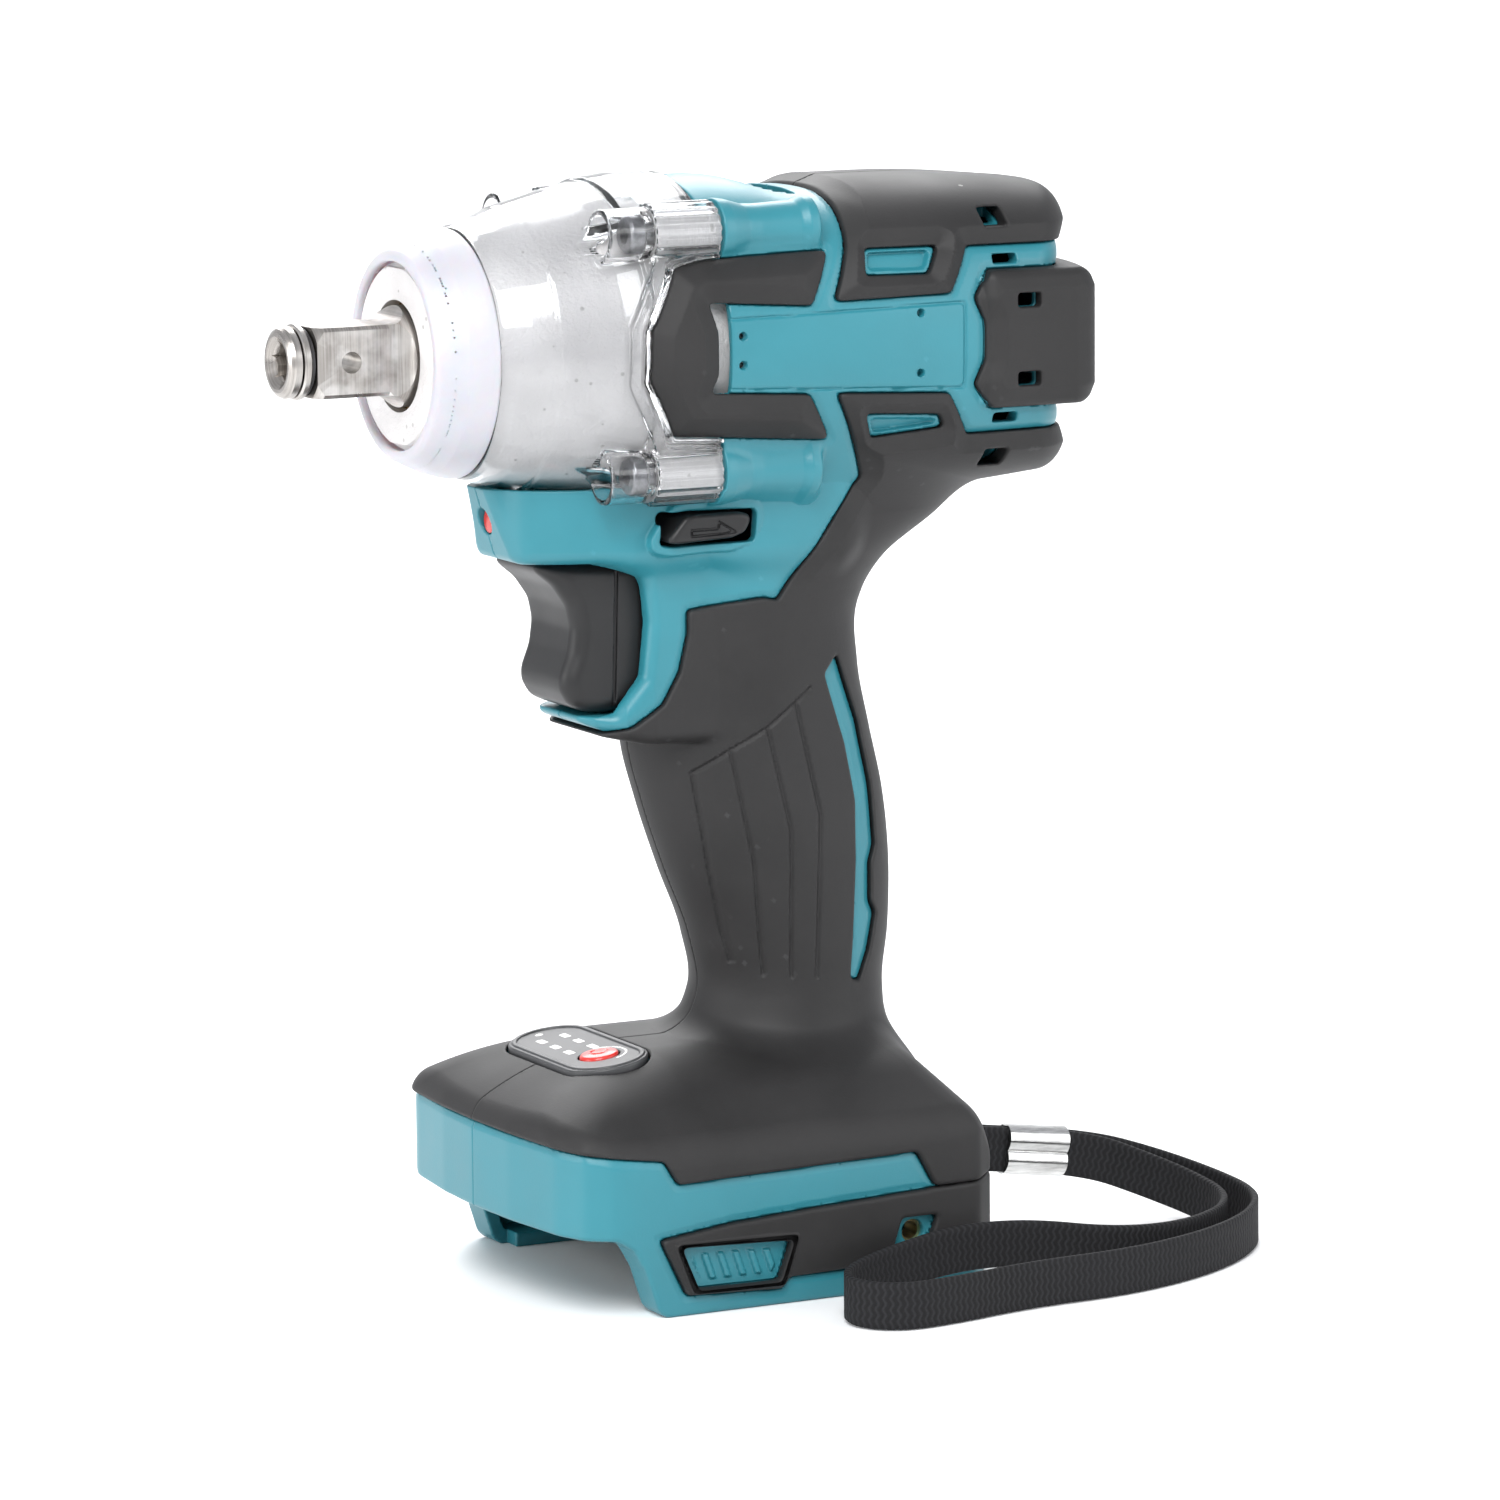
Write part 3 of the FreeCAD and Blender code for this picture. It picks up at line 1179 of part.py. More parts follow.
ARC_SHARE = 0.45


def rounded_path(route):
    """Straight runs joined by tangent arcs as large as the runs allow; also the radii."""
    points = [Vector(*point) for point in route]
    edges, radii = [], []
    start = points[0]
    for before, corner, after in zip(points, points[1:], points[2:]):
        back, ahead = before - corner, after - corner
        reach = ARC_SHARE * min(back.Length, ahead.Length)
        back.normalize()
        ahead.normalize()
        turn = math.pi - back.getAngle(ahead)
        radius = reach / math.tan(turn / 2)
        first, last = corner + back * reach, corner + ahead * reach
        inward = back + ahead
        inward.normalize()
        distance = math.hypot(radius, reach)
        middle = corner + inward * (distance - radius)
        edges.append(Part.LineSegment(start, first).toShape())
        edges.append(Part.Arc(first, middle, last).toShape())
        radii.append(radius)
        start = last
    edges.append(Part.LineSegment(start, points[-1]).toShape())
    return Part.Wire(edges), radii


def wrist_strap():
    """Flat webbing on edge, swept with its width kept upright."""
    path, radii = rounded_path(ROUTE)
    thick, wide = size("strap_thickness") / 2, size("strap_width") / 2
    start, heading = Vector(*ROUTE[0]), Vector(*ROUTE[1]) - Vector(*ROUTE[0])
    heading.normalize()
    across = Vector(0, 0, 1).cross(heading)
    across.normalize()
    upright = heading.cross(across)
    corners = [start + across * (thick * a) + upright * (wide * b) for a,
        b in ((-1, -1), (1, -1), (1, 1), (-1, 1))]
    section = Part.makePolygon(corners + corners[:1])
    sweep = Part.BRepOffsetAPI.MakePipeShell(path)
    sweep.setBiNormalMode(Vector(0, 0, 1))
    sweep.add(section)
    sweep.build()
    sweep.makeSolid()
    strap = sweep.shape()
    print("strap length %.1f mm, volume / (section x length) %.4f" % (
        path.Length, strap.Volume / (path.Length * 4 * thick * wide)))
    print("strap radii", [round(radius, 1) for radius in radii])
    return strap


def strap_clamp():
    """Pressed steel clamp: two round lobes over a slot for both strands."""
    length = size("clamp_length")
    middle = Vector(76.5, 0, 13.85)
    lobes = [Part.makeCylinder(2.9, length, Vector(-length / 2, 0, z), Vector(1, 0, 0)) for z in (-1.95,
        1.95)]
    slot = Part.makeBox(length + 2, 3.0, 8.8, Vector(-length / 2 - 1, -1.5, -4.4))
    clamp = fused(lobes).cut(slot)
    clamp.Placement = Placement(middle, Rotation(Vector(0, 1, 0), math.degrees(math.atan2(3.6, 25.5))))
    return clamp


solid_node("wrist_strap", wrist_strap())
solid_node("strap_clamp", strap_clamp())


# ---------------------------------------------------------------- check and write
doc.recompute()
faults = []
for item in doc.Objects:
    if "Invalid" in item.State or "Error" in item.State:
        faults.append(f"{item.Name}: {item.State}")
for name, feature in nodes.items():
    shape = feature.Shape
    if shape.isNull() or not shape.Solids or not shape.isValid():
        faults.append(f"{name}: bad shape")
    else:
        print(f"{name:18s} solids {len(shape.Solids):2d} volume {shape.Volume:9.1f}")
if faults:
    raise RuntimeError("; ".join(faults))
for name, feature in nodes.items():
    feature.Shape.exportStep(f"parts/{name}.step")
print(len(nodes), "nodes written")
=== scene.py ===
"""Looks of a cordless half-inch impact wrench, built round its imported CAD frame.

Frame: the nose points along -X, the tool's left side along -Y, +Z is up. Shapes are
worked out in millimetres, as "station" (distance back from the nose tip), "side"
(distance from the middle plane) and height over the spindle axis or over the ground.
"""
import json
import logging
import math
from dataclasses import dataclass, field
from enum import Enum
from typing import Callable, Sequence

import bpy
import numpy as np
from mathutils import Matrix, Vector


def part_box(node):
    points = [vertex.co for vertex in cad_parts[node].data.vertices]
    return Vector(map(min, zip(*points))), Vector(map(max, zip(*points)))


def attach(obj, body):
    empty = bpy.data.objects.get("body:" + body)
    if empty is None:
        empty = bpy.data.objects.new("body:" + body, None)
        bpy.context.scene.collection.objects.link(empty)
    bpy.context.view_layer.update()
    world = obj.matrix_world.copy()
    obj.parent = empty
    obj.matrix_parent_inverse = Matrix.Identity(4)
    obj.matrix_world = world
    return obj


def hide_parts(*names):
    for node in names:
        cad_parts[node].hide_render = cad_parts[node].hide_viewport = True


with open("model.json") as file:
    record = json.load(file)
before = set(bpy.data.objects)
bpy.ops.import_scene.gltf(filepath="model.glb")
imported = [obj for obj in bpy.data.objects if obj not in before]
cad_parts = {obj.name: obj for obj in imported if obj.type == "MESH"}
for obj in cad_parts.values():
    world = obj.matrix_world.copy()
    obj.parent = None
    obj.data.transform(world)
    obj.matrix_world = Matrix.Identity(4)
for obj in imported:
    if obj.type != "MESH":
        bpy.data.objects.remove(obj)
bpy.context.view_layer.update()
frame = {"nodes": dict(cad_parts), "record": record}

LOG = logging.getLogger("impact_wrench")
MM = 0.001
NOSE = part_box("anvil")[0].x / MM
AXIS = (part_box("anvil")[0].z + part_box("anvil")[1].z) / 2 / MM
# Middles of the four screw bosses, of the mode button and of the mode panel's round ends.
BOSS_SIDE, BOSS_HEIGHT = 22.2, 21.7
BUTTON_STATION, BUTTON_SIDE = 58.4, -8.1
PANEL_STATION, PANEL_REACH = 58.0, 11.2

Array = np.ndarray
Thing = bpy.types.Object
Tree = bpy.types.NodeTree
Socket = bpy.types.NodeSocket
Links = dict[str | int, Socket]
Corners = Sequence[tuple[float, float]]
Colour = tuple[float, float, float]


class Body(Enum):
    """The CAD bodies that pieces ride on."""

    HOUSING = "housing"
    ANVIL = "anvil"
    TRIGGER = "trigger"
    LEVER = "direction_lever"
    BUTTON = "mode_button"


# ---- distance tools
def both(a: Array, b: Array, radius: float = 0.0) -> Array:
    """Distance to what two solids share, with its edge rounded.

    Args:
        a: Signed distances to one solid, negative inside.
        b: Signed distances to the other solid.
        radius: Rounding of the edge where the two surfaces meet.

    Returns:
        Signed distances to the shared part.
    """
    if radius <= 0:
        return np.maximum(a, b)
    u, v = np.maximum(radius + a, 0), np.maximum(radius + b, 0)
    return np.minimum(-radius, np.maximum(a, b)) + np.sqrt(u * u + v * v)


def either(a: Array, b: Array, radius: float = 0.0) -> Array:
    """Distance to two solids joined, with a fillet of the given radius between them."""
    return -both(-a, -b, radius)


def less(a: Array, b: Array, radius: float = 0.0) -> Array:
    """Distance to the first solid with the second one cut out of it."""
    return both(a, -b, radius)


def through(x: Array, stops: Sequence[float], values: Sequence[float]) -> Array:
    """A table read at x with straight lines between its stops."""
    return np.interp(x, stops, values).astype(np.float32)


def flowing(x: Array, stops: Sequence[float], values: Sequence[float]) -> Array:
    """A table read at x along a smooth curve through its values."""
    at, of = np.array(stops, np.float32), np.array(values, np.float32)
    slopes = np.gradient(of, at)
    slopes[0] = (of[1] - of[0]) / (at[1] - at[0])
    slopes[-1] = (of[-1] - of[-2]) / (at[-1] - at[-2])
    x = np.clip(x, at[0], at[-1])
    k = np.clip(np.searchsorted(at, x, side="right") - 1, 0, len(at) - 2)
    span = at[k + 1] - at[k]
    t = (x - at[k]) / span
    start, end = of[k], of[k + 1]
    rise, fall = slopes[k] * span, slopes[k + 1] * span
    square = 3 * (end - start) - 2 * rise - fall
    cube = 2 * (start - end) + rise + fall
    return start + t * rise + t * t * square + t ** 3 * cube


def segment_distance(u: Array, v: Array, line: Corners) -> Array:
    """Distance from points to an open line of straight runs."""
    best = np.full(u.shape, 1e9, np.float32)
    for (ax, ay), (bx, by) in zip(line[:-1], line[1:]):
        ex, ey = bx - ax, by - ay
        t = np.clip(((u - ax) * ex + (v - ay) * ey) / (ex * ex + ey * ey), 0, 1)
        best = np.minimum(best, (u - ax - t * ex) ** 2 + (v - ay - t * ey) ** 2)
    return np.sqrt(best)


class Table:
    """A function of two coordinates, kept on a grid and read between its points."""

    STEP = 0.3
    MARGIN = 7.0

    def __init__(self, corners: Corners, rule: Callable[[Array, Array], Array], soften: float) -> None:
        """Fills the grid.

        Args:
            corners: Points that the grid has to cover.
            rule: Gives the value at two coordinate arrays.
            soften: Radius in mm of the blur that rounds the corners.
        """
        points = np.array(corners, np.float32)
        self.low = points.min(0) - self.MARGIN
        counts = np.ceil((points.max(0) + self.MARGIN - self.low) / self.STEP).astype(int) + 1
        self.top = counts - 1.001
        axes = [self.low[i] + self.STEP * np.arange(counts[i], dtype=np.float32) for i in (0, 1)]
        u, v = np.meshgrid(*axes, indexing="ij")
        self.grid = self.blurred(rule(u, v), soften / self.STEP).astype(np.float32)

    @staticmethod
    def blurred(values: Array, cells: float) -> Array:
        """The values after a bell-shaped blur of so many cells."""
        if cells < 0.3:
            return values
        reach = int(math.ceil(2.5 * cells))
        weights = np.exp(-0.5 * (np.arange(-reach, reach + 1) / cells) ** 2)
        weights /= weights.sum()
        for axis in (0, 1):
            pad = [(reach, reach) if a == axis else (0, 0) for a in (0, 1)]
            wide = np.pad(values, pad, mode="edge")
            size = values.shape[axis]
            values = sum(w * np.take(wide, np.arange(k, k + size), axis=axis) for k,
                         w in enumerate(weights))
        return values

    def __call__(self, u: Array, v: Array) -> Array:
        """Reads the table at points; outside the grid the overshoot is added on."""
        a = (u - self.low[0]) / self.STEP
        b = (v - self.low[1]) / self.STEP
        ca, cb = np.clip(a, 0, self.top[0]), np.clip(b, 0, self.top[1])
        i, j = ca.astype(np.int32), cb.astype(np.int32)
        fa, fb = ca - i, cb - j
        g = self.grid
        near = g[i, j] * (1 - fa) + g[i + 1, j] * fa
        far = g[i, j + 1] * (1 - fa) + g[i + 1, j + 1] * fa
        return near * (1 - fb) + far * fb + self.STEP * np.sqrt((a - ca) ** 2 + (b - cb) ** 2)


class Outline(Table):
    """Signed distance to a closed flat outline, negative inside."""

    def __init__(self, corners: Corners, soften: float = 0.35) -> None:
        """Takes the corners in order and rounds them by about the given radius."""
        loop = list(corners) + [corners[0]]

        def rule(u: Array, v: Array) -> Array:
            inside = np.zeros(u.shape, bool)
            for (ax, ay), (bx, by) in zip(loop[:-1], loop[1:]):
                crosses = (ay > v) != (by > v)
                with np.errstate(divide="ignore", invalid="ignore"):
                    at = ax + (v - ay) * (bx - ax) / (by - ay if by != ay else 1e-9)
                inside ^= crosses & (u < at)
            distance = segment_distance(u, v, loop)
            return np.where(inside, -distance, distance)

        super().__init__(corners, rule, soften)


class Scribe(Table):
    """Distance to engraved lines, each an open run of points."""

    def __init__(self, lines: Sequence[Corners]) -> None:
        """Takes the lines as runs of points."""
        every = [point for line in lines for point in line]

        def rule(u: Array, v: Array) -> Array:
            return np.minimum.reduce([segment_distance(u, v, line) for line in lines])

        super().__init__(every, rule, 0.0)


class Spots:
    """Points in the tool's own terms, all in millimetres."""

    def __init__(self, points: Array) -> None:
        """Splits frame coordinates into station, side and the two heights."""
        self.n = points[:, 0] - NOSE
        self.y = points[:, 1]
        self.side = np.abs(points[:, 1])
        self.g = points[:, 2]
        self.h = points[:, 2] - AXIS

    def pipe_x(self, radius: float | Array) -> Array:
        """Distance to an endless cylinder round the spindle axis."""
        return np.hypot(self.y, self.h) - radius

    def boss(self) -> Array:
        """Distance to the axis of the nearest screw boss."""
        return np.hypot(self.side - BOSS_SIDE, np.abs(self.h) - BOSS_HEIGHT)

    def button(self) -> Array:
        """Distance to the mode button's upright axis."""
        return np.hypot(self.n - BUTTON_STATION, self.y - BUTTON_SIDE)

    def panel(self, radius: float) -> Array:
        """Distance to the mode panel's round-ended plan."""
        return np.hypot(self.n - PANEL_STATION, np.maximum(self.side - PANEL_REACH, 0)) - radius

    def pipe_y(self, station: float, g: float, radius: float) -> Array:
        """Distance to an endless cylinder across the tool."""
        return np.hypot(self.n - station, self.g - g) - radius


Fields = Callable[[Spots], list[Array]]


@dataclass(frozen=True)
class Carver:
    """Turns distance fields into closed meshes with surface nets."""

    step: float
    block: int = 6
    chunk: int = 900_000

    def values(self, fields: Fields, points: Array) -> Array:
        """All fields at the points, worked out in chunks."""
        parts = [np.array(fields(Spots(points[k:k + self.chunk])), np.float32)
                 for k in range(0, len(points), self.chunk)]
        return np.concatenate(parts, axis=1)

    def sampled(self, fields: Fields, low: Array, counts: Array) -> Array:
        """The fields on the fine grid, exact only in the blocks that a surface may cross."""
        blocks = [low[a] + self.step * self.block * np.arange(counts[a] + 1) for a in range(3)]
        corners = np.stack(np.meshgrid(*blocks, indexing="ij"), -1).reshape(-1, 3).astype(np.float32)
        coarse = self.values(fields, corners)
        coarse = coarse.reshape(len(coarse), *(counts + 1))
        close = np.abs(coarse).min(0)
        lowest = close[:-1, :-1, :-1]
        for shift in range(1, 8):
            part = close[shift & 1:, (shift >> 1) & 1:, (shift >> 2) & 1:]
            lowest = np.minimum(lowest, part[:counts[0], :counts[1], :counts[2]])
        active = lowest < 1.15 * self.step * self.block
        size = counts * self.block + 1
        wanted = np.zeros(size, bool)
        filled = active.repeat(self.block, 0).repeat(self.block, 1).repeat(self.block, 2)
        for shift in range(8):
            offset = [(shift >> a) & 1 for a in range(3)]
            window = tuple(slice(offset[a], offset[a] + filled.shape[a]) for a in range(3))
            wanted[window] |= filled
        owner = np.ix_(*[np.minimum(np.arange(size[a]) // self.block, counts[a]) for a in range(3)])
        grids = np.stack([np.sign(layer[owner]) + 0.001 for layer in coarse]).astype(np.float32)
        index = np.nonzero(wanted)
        points = np.stack(index, -1).astype(np.float32) * self.step + low.astype(np.float32)
        exact = self.values(fields, points)
        for layer, worked in zip(grids, exact):
            layer[index] = worked
        return grids

    def netted(self, grid: Array, low: Array) -> tuple[Array, Array]:
        """Corner points and quads of the surface where the grid's value is zero."""
        inside = grid < 0
        cells = np.array(grid.shape) - 1
        stride = np.array([cells[1] * cells[2], cells[2], 1])
        owners, places, quads = [], [], []
        for axis in range(3):
            first = tuple(slice(None, -1) if a == axis else slice(None) for a in range(3))
            second = tuple(slice(1, None) if a == axis else slice(None) for a in range(3))
            index = np.stack(np.nonzero(inside[first] != inside[second]), -1)
            start = grid[first][tuple(index.T)]
            end = grid[second][tuple(index.T)]
            place = index.astype(np.float64)
            place[:, axis] += start / (start - end)
            other = [(axis + 1) % 3, (axis + 2) % 3]
            ring = []
            for da, db in ((-1, -1), (0, -1), (0, 0), (-1, 0)):
                cell = index.copy()
                cell[:, other[0]] += da
                cell[:, other[1]] += db
                ring.append(cell @ stride)
                owners.append(ring[-1])
                places.append(place)
            quad = np.stack(ring, -1)
            quad[start > 0] = quad[start > 0][:, ::-1]
            quads.append(quad)
        owner = np.concatenate(owners)
        names, slot = np.unique(owner, return_inverse=True)
        place = np.concatenate(places)
        total = np.bincount(slot, minlength=len(names)).astype(float)
        spots = np.stack([np.bincount(slot, place[:, a], len(names)) / total for a in range(3)], -1)
        faces = np.searchsorted(names, np.concatenate(quads))
        return spots * self.step + low, faces

    def carve(self, names: Sequence[str], fields: Fields, low: Sequence[float],
              high: Sequence[float]) -> list[Thing]:
        """Makes one mesh object per field.

        Args:
            names: Names of the new objects.
            fields: Gives one signed distance array per name.
            low: Lowest corner of the space to search, in mm.
            high: Highest corner of that space.

        Returns:
            The new objects, in metres, with normals taken from the fields.
        """
        corner = np.array(low, float)
        counts = np.ceil((np.array(high) - corner) / self.step / self.block).astype(int)
        grids = self.sampled(fields, corner, counts)
        made = []
        for number, name in enumerate(names):
            spots, faces = self.netted(grids[number], corner)
            obj = mesh_object(name, spots * MM, faces)
            self.dress_normals(obj, fields, number)
            LOG.info("carved %s: %d faces", name, len(obj.data.polygons))
            made.append(obj)
        return made

    def dress_normals(self, obj: Thing, fields: Fields, number: int) -> None:
        """Sets smooth shading whose normals follow the field's slope."""
        count = len(obj.data.vertices)
        flat = np.empty(count * 3, np.float32)
        obj.data.vertices.foreach_get("co", flat)
        points = flat.reshape(-1, 3) / MM
        for _ in range(2):
            slope = self.slope(fields, number, points)
            steep = np.maximum((slope ** 2).sum(1), 0.25)
            move = self.values(fields, points)[number] / steep
            points = points - slope * np.clip(move, -0.4 * self.step, 0.4 * self.step)[:, None]
        obj.data.vertices.foreach_set("co", (points * MM).astype(np.float32).ravel())
        obj.data.update()
        slope = self.slope(fields, number, points)
        slope /= np.maximum(np.linalg.norm(slope, axis=1, keepdims=True), 1e-6)
        flat = np.empty(count * 3, np.float32)
        obj.data.vertex_normals.foreach_get("vector", flat)
        plain = flat.reshape(-1, 3)
        agree = (slope * plain).sum(1, keepdims=True)
        slope = np.where(agree > 0.6, slope, plain)
        obj.data.polygons.foreach_set("use_smooth", np.ones(len(obj.data.polygons), bool))
        obj.data.normals_split_custom_set_from_vertices(slope.tolist())

    def slope(self, fields: Fields, number: int, points: Array) -> Array:
        """The field's gradient at the points."""
        reach = 0.12
        slope = np.empty((len(points), 3), np.float32)
        for axis in range(3):
            nudge = np.zeros(3, np.float32)
            nudge[axis] = reach
            ahead, behind = self.values(fields, points + nudge), self.values(fields, points - nudge)
            slope[:, axis] = (ahead[number] - behind[number]) / (2 * reach)
        return slope


def mesh_object(name: str, points: Array, faces: Array) -> Thing:
    """Links a new mesh object.

    Args:
        name: Object name.
        points: Vertex positions in metres, one row each.
        faces: Vertex numbers, one row per face, all rows the same length.

    Returns:
        The new object.
    """
    mesh = bpy.data.meshes.new(name)
    sides = faces.shape[1]
    mesh.vertices.add(len(points))
    mesh.vertices.foreach_set("co", np.asarray(points, np.float32).ravel())
    mesh.loops.add(faces.size)
    mesh.loops.foreach_set("vertex_index", faces.astype(np.int32).ravel())
    mesh.polygons.add(len(faces))
    mesh.polygons.foreach_set("loop_start", np.arange(0, faces.size, sides, dtype=np.int32))
    mesh.update(calc_edges=True)
    mesh.validate()
    obj = bpy.data.objects.new(name, mesh)
    bpy.context.scene.collection.objects.link(obj)
    return obj


def mirrored_copy(obj: Thing, name: str) -> Thing:
    """A copy of an object on the other side of the middle plane, normals included."""
    mesh = obj.data
    count, loops = len(mesh.vertices), len(mesh.loops)
    points = np.empty(count * 3, np.float32)
    mesh.vertices.foreach_get("co", points)
    points = points.reshape(-1, 3) * (1, -1, 1)
    corner = np.empty(loops, np.int32)
    mesh.loops.foreach_get("vertex_index", corner)
    normals = np.empty(loops * 3, np.float32)
    mesh.corner_normals.foreach_get("vector", normals)
    per_point = np.zeros((count, 3), np.float32)
    per_point[corner] = normals.reshape(-1, 3)
    sides = loops // len(mesh.polygons)
    copy = mesh_object(name, points, corner.reshape(-1, sides)[:, ::-1])
    copy.data.polygons.foreach_set("use_smooth", np.ones(len(copy.data.polygons), bool))
    copy.data.normals_split_custom_set_from_vertices((per_point * (1, -1, 1)).tolist())
    return copy


# ---- shader groups
class GroupMaker:
    """Builds a shared node group with named inputs and outputs."""

    def __init__(self, name: str) -> None:
        """Starts a group whose first input is a vector."""
        self.tree = bpy.data.node_groups.new(name, "ShaderNodeTree")
        self.start = self.tree.nodes.new("NodeGroupInput")
        self.end = self.tree.nodes.new("NodeGroupOutput")
        self.takes("Vector", "Vector", (0, 0, 0))

    def takes(self, name: str, kind: str, default: float | tuple) -> None:
        """Adds an input socket."""
        socket = self.tree.interface.new_socket(name, in_out="INPUT", socket_type=f"NodeSocket{kind}")
        socket.default_value = default

    def gives(self, name: str, kind: str, source: Socket) -> None:
        """Adds an output socket fed by the source."""
        self.tree.interface.new_socket(name, in_out="OUTPUT", socket_type=f"NodeSocket{kind}")
        self.tree.links.new(source, self.end.inputs[name])

    def node(self, kind: str, links: Links | None = None, **values: object) -> bpy.types.Node:
        """Adds a node, sets its properties or input values and links its inputs."""
        return add_node(self.tree, kind, links, **values)

    def entry(self, name: str) -> Socket:
        """The group's input as a source."""
        return self.start.outputs[name]

    def entries(self, *names: str) -> Links:
        """Links from the group's inputs to inputs of the same names."""
        return {name: self.entry(name) for name in names}


def add_node(tree: Tree, kind: str, links: Links | None = None,
             **values: object) -> bpy.types.Node:
    """Adds a shader node.

    Args:
        tree: The tree to add to.
        kind: Node type without its ShaderNode prefix.
        links: Sources by input name or number.
        **values: Node properties, or input values whose names have spaces as underscores.

    Returns:
        The new node.
    """
    node = tree.nodes.new(f"ShaderNode{kind}")
    for key, value in values.items():
        label = key.replace("_", " ")
        if key.startswith("in"):
            node.inputs[int(key[2:])].default_value = value
        elif label in node.inputs:
            node.inputs[label].default_value = value
        else:
            setattr(node, key, value)
    for key, source in (links or {}).items():
        tree.links.new(source, node.inputs[key])
    return node


def speckle_group() -> Tree:
    """Sparse small light dots, as dust or bright grains: gives a mask."""
    group = GroupMaker("speckles")
    group.takes("Scale", "Float", 900.0)
    group.takes("Amount", "Float", 0.1)
    cells = group.node("TexVoronoi", group.entries("Vector", "Scale"))
    chosen = group.node("Math", {0: cells.outputs["Color"], 1: group.entry("Amount")},
                        operation="LESS_THAN")
    dot = group.node("Math", {0: cells.outputs["Distance"]}, operation="LESS_THAN", in1=0.3)
    both_of = group.node("Math", {0: chosen.outputs[0], 1: dot.outputs[0]}, operation="MULTIPLY")
    group.gives("Mask", "Float", both_of.outputs[0])
    return group.tree


def grain_group() -> Tree:
    """Fine spark-erosion grain of moulded plastic: a height, and slow mottling."""
    group = GroupMaker("moulded_grain")
    group.takes("Scale", "Float", 2500.0)
    fine = group.node("TexNoise", group.entries("Vector", "Scale"), Detail=3.0, Roughness=0.6)
    slow = group.node("TexNoise", group.entries("Vector"), Scale=38.0, Detail=4.0, Roughness=0.55)
    group.gives("Height", "Float", fine.outputs[0])
    group.gives("Mottle", "Float", slow.outputs[0])
    return group.tree


def edge_group() -> Tree:
    """Light rubbing along outer edges, broken up by noise: gives a mask."""
    group = GroupMaker("edge_rub")
    group.takes("Low", "Float", 0.53)
    group.takes("High", "Float", 0.62)
    shape = group.node("NewGeometry")
    ramp = group.node("MapRange", {0: shape.outputs["Pointiness"], 1: group.entry("Low"),
                                   2: group.entry("High")})
    noise = group.node("TexNoise", group.entries("Vector"), Scale=240.0, Detail=3.0)
    broken = group.node("MapRange", {0: noise.outputs[0]}, in1=0.35, in2=0.65)
    mask = group.node("Math", {0: ramp.outputs[0], 1: broken.outputs[0]}, operation="MULTIPLY")
    group.gives("Mask", "Float", mask.outputs[0])
    return group.tree


def lathe_group() -> Tree:
    """Turning or milling marks: fine uneven lines across one axis, as a height and a tone."""
    group = GroupMaker("tool_marks")
    group.takes("Stretch", "Vector", (1, 1, 1))
    scaled = group.node("VectorMath", {0: group.entry("Vector"), 1: group.entry("Stretch")},
                        operation="MULTIPLY")
    lines = group.node("TexNoise", {"Vector": scaled.outputs[0]}, Scale=1.0, Detail=4.0, Roughness=0.65)
    patches = group.node("TexNoise", group.entries("Vector"), Scale=90.0, Detail=3.0)
    group.gives("Height", "Float", lines.outputs[0])
    group.gives("Patches", "Float", patches.outputs[0])
    return group.tree


def weave_group() -> Tree:
    """Crosswise ribs with a broken twill, for narrow webbing mapped along its length."""
    group = GroupMaker("webbing")
    parts = group.node("SeparateXYZ", {0: group.entry("Vector")})
    along = group.node("Math", {0: parts.outputs[0]}, operation="MULTIPLY", in1=math.tau / 0.00125)
    side = group.node("Math", {0: parts.outputs[1]}, operation="MULTIPLY", in1=math.tau / 0.0021)
    sine = group.node("Math", {0: side.outputs[0]}, operation="SINE")
    bent = group.node("Math", {0: sine.outputs[0]}, operation="MULTIPLY", in1=1.1)
    phase = group.node("Math", {0: along.outputs[0], 1: bent.outputs[0]}, operation="ADD")
    ribs = group.node("Math", {0: phase.outputs[0]}, operation="SINE")
    fuzz = group.node("TexNoise", group.entries("Vector"), Scale=2600.0, Detail=3.0)
    total = group.node("Math", {0: ribs.outputs[0], 1: fuzz.outputs[0]}, operation="ADD")
    group.gives("Height", "Float", total.outputs[0])
    group.gives("Fuzz", "Float", fuzz.outputs[0])
    return group.tree


class Shaders:
    """The shared groups, each built once."""

    def __init__(self) -> None:
        """Builds every group."""
        self.speckles = speckle_group()
        self.grain = grain_group()
        self.edge = edge_group()
        self.marks = lathe_group()
        self.weave = weave_group()


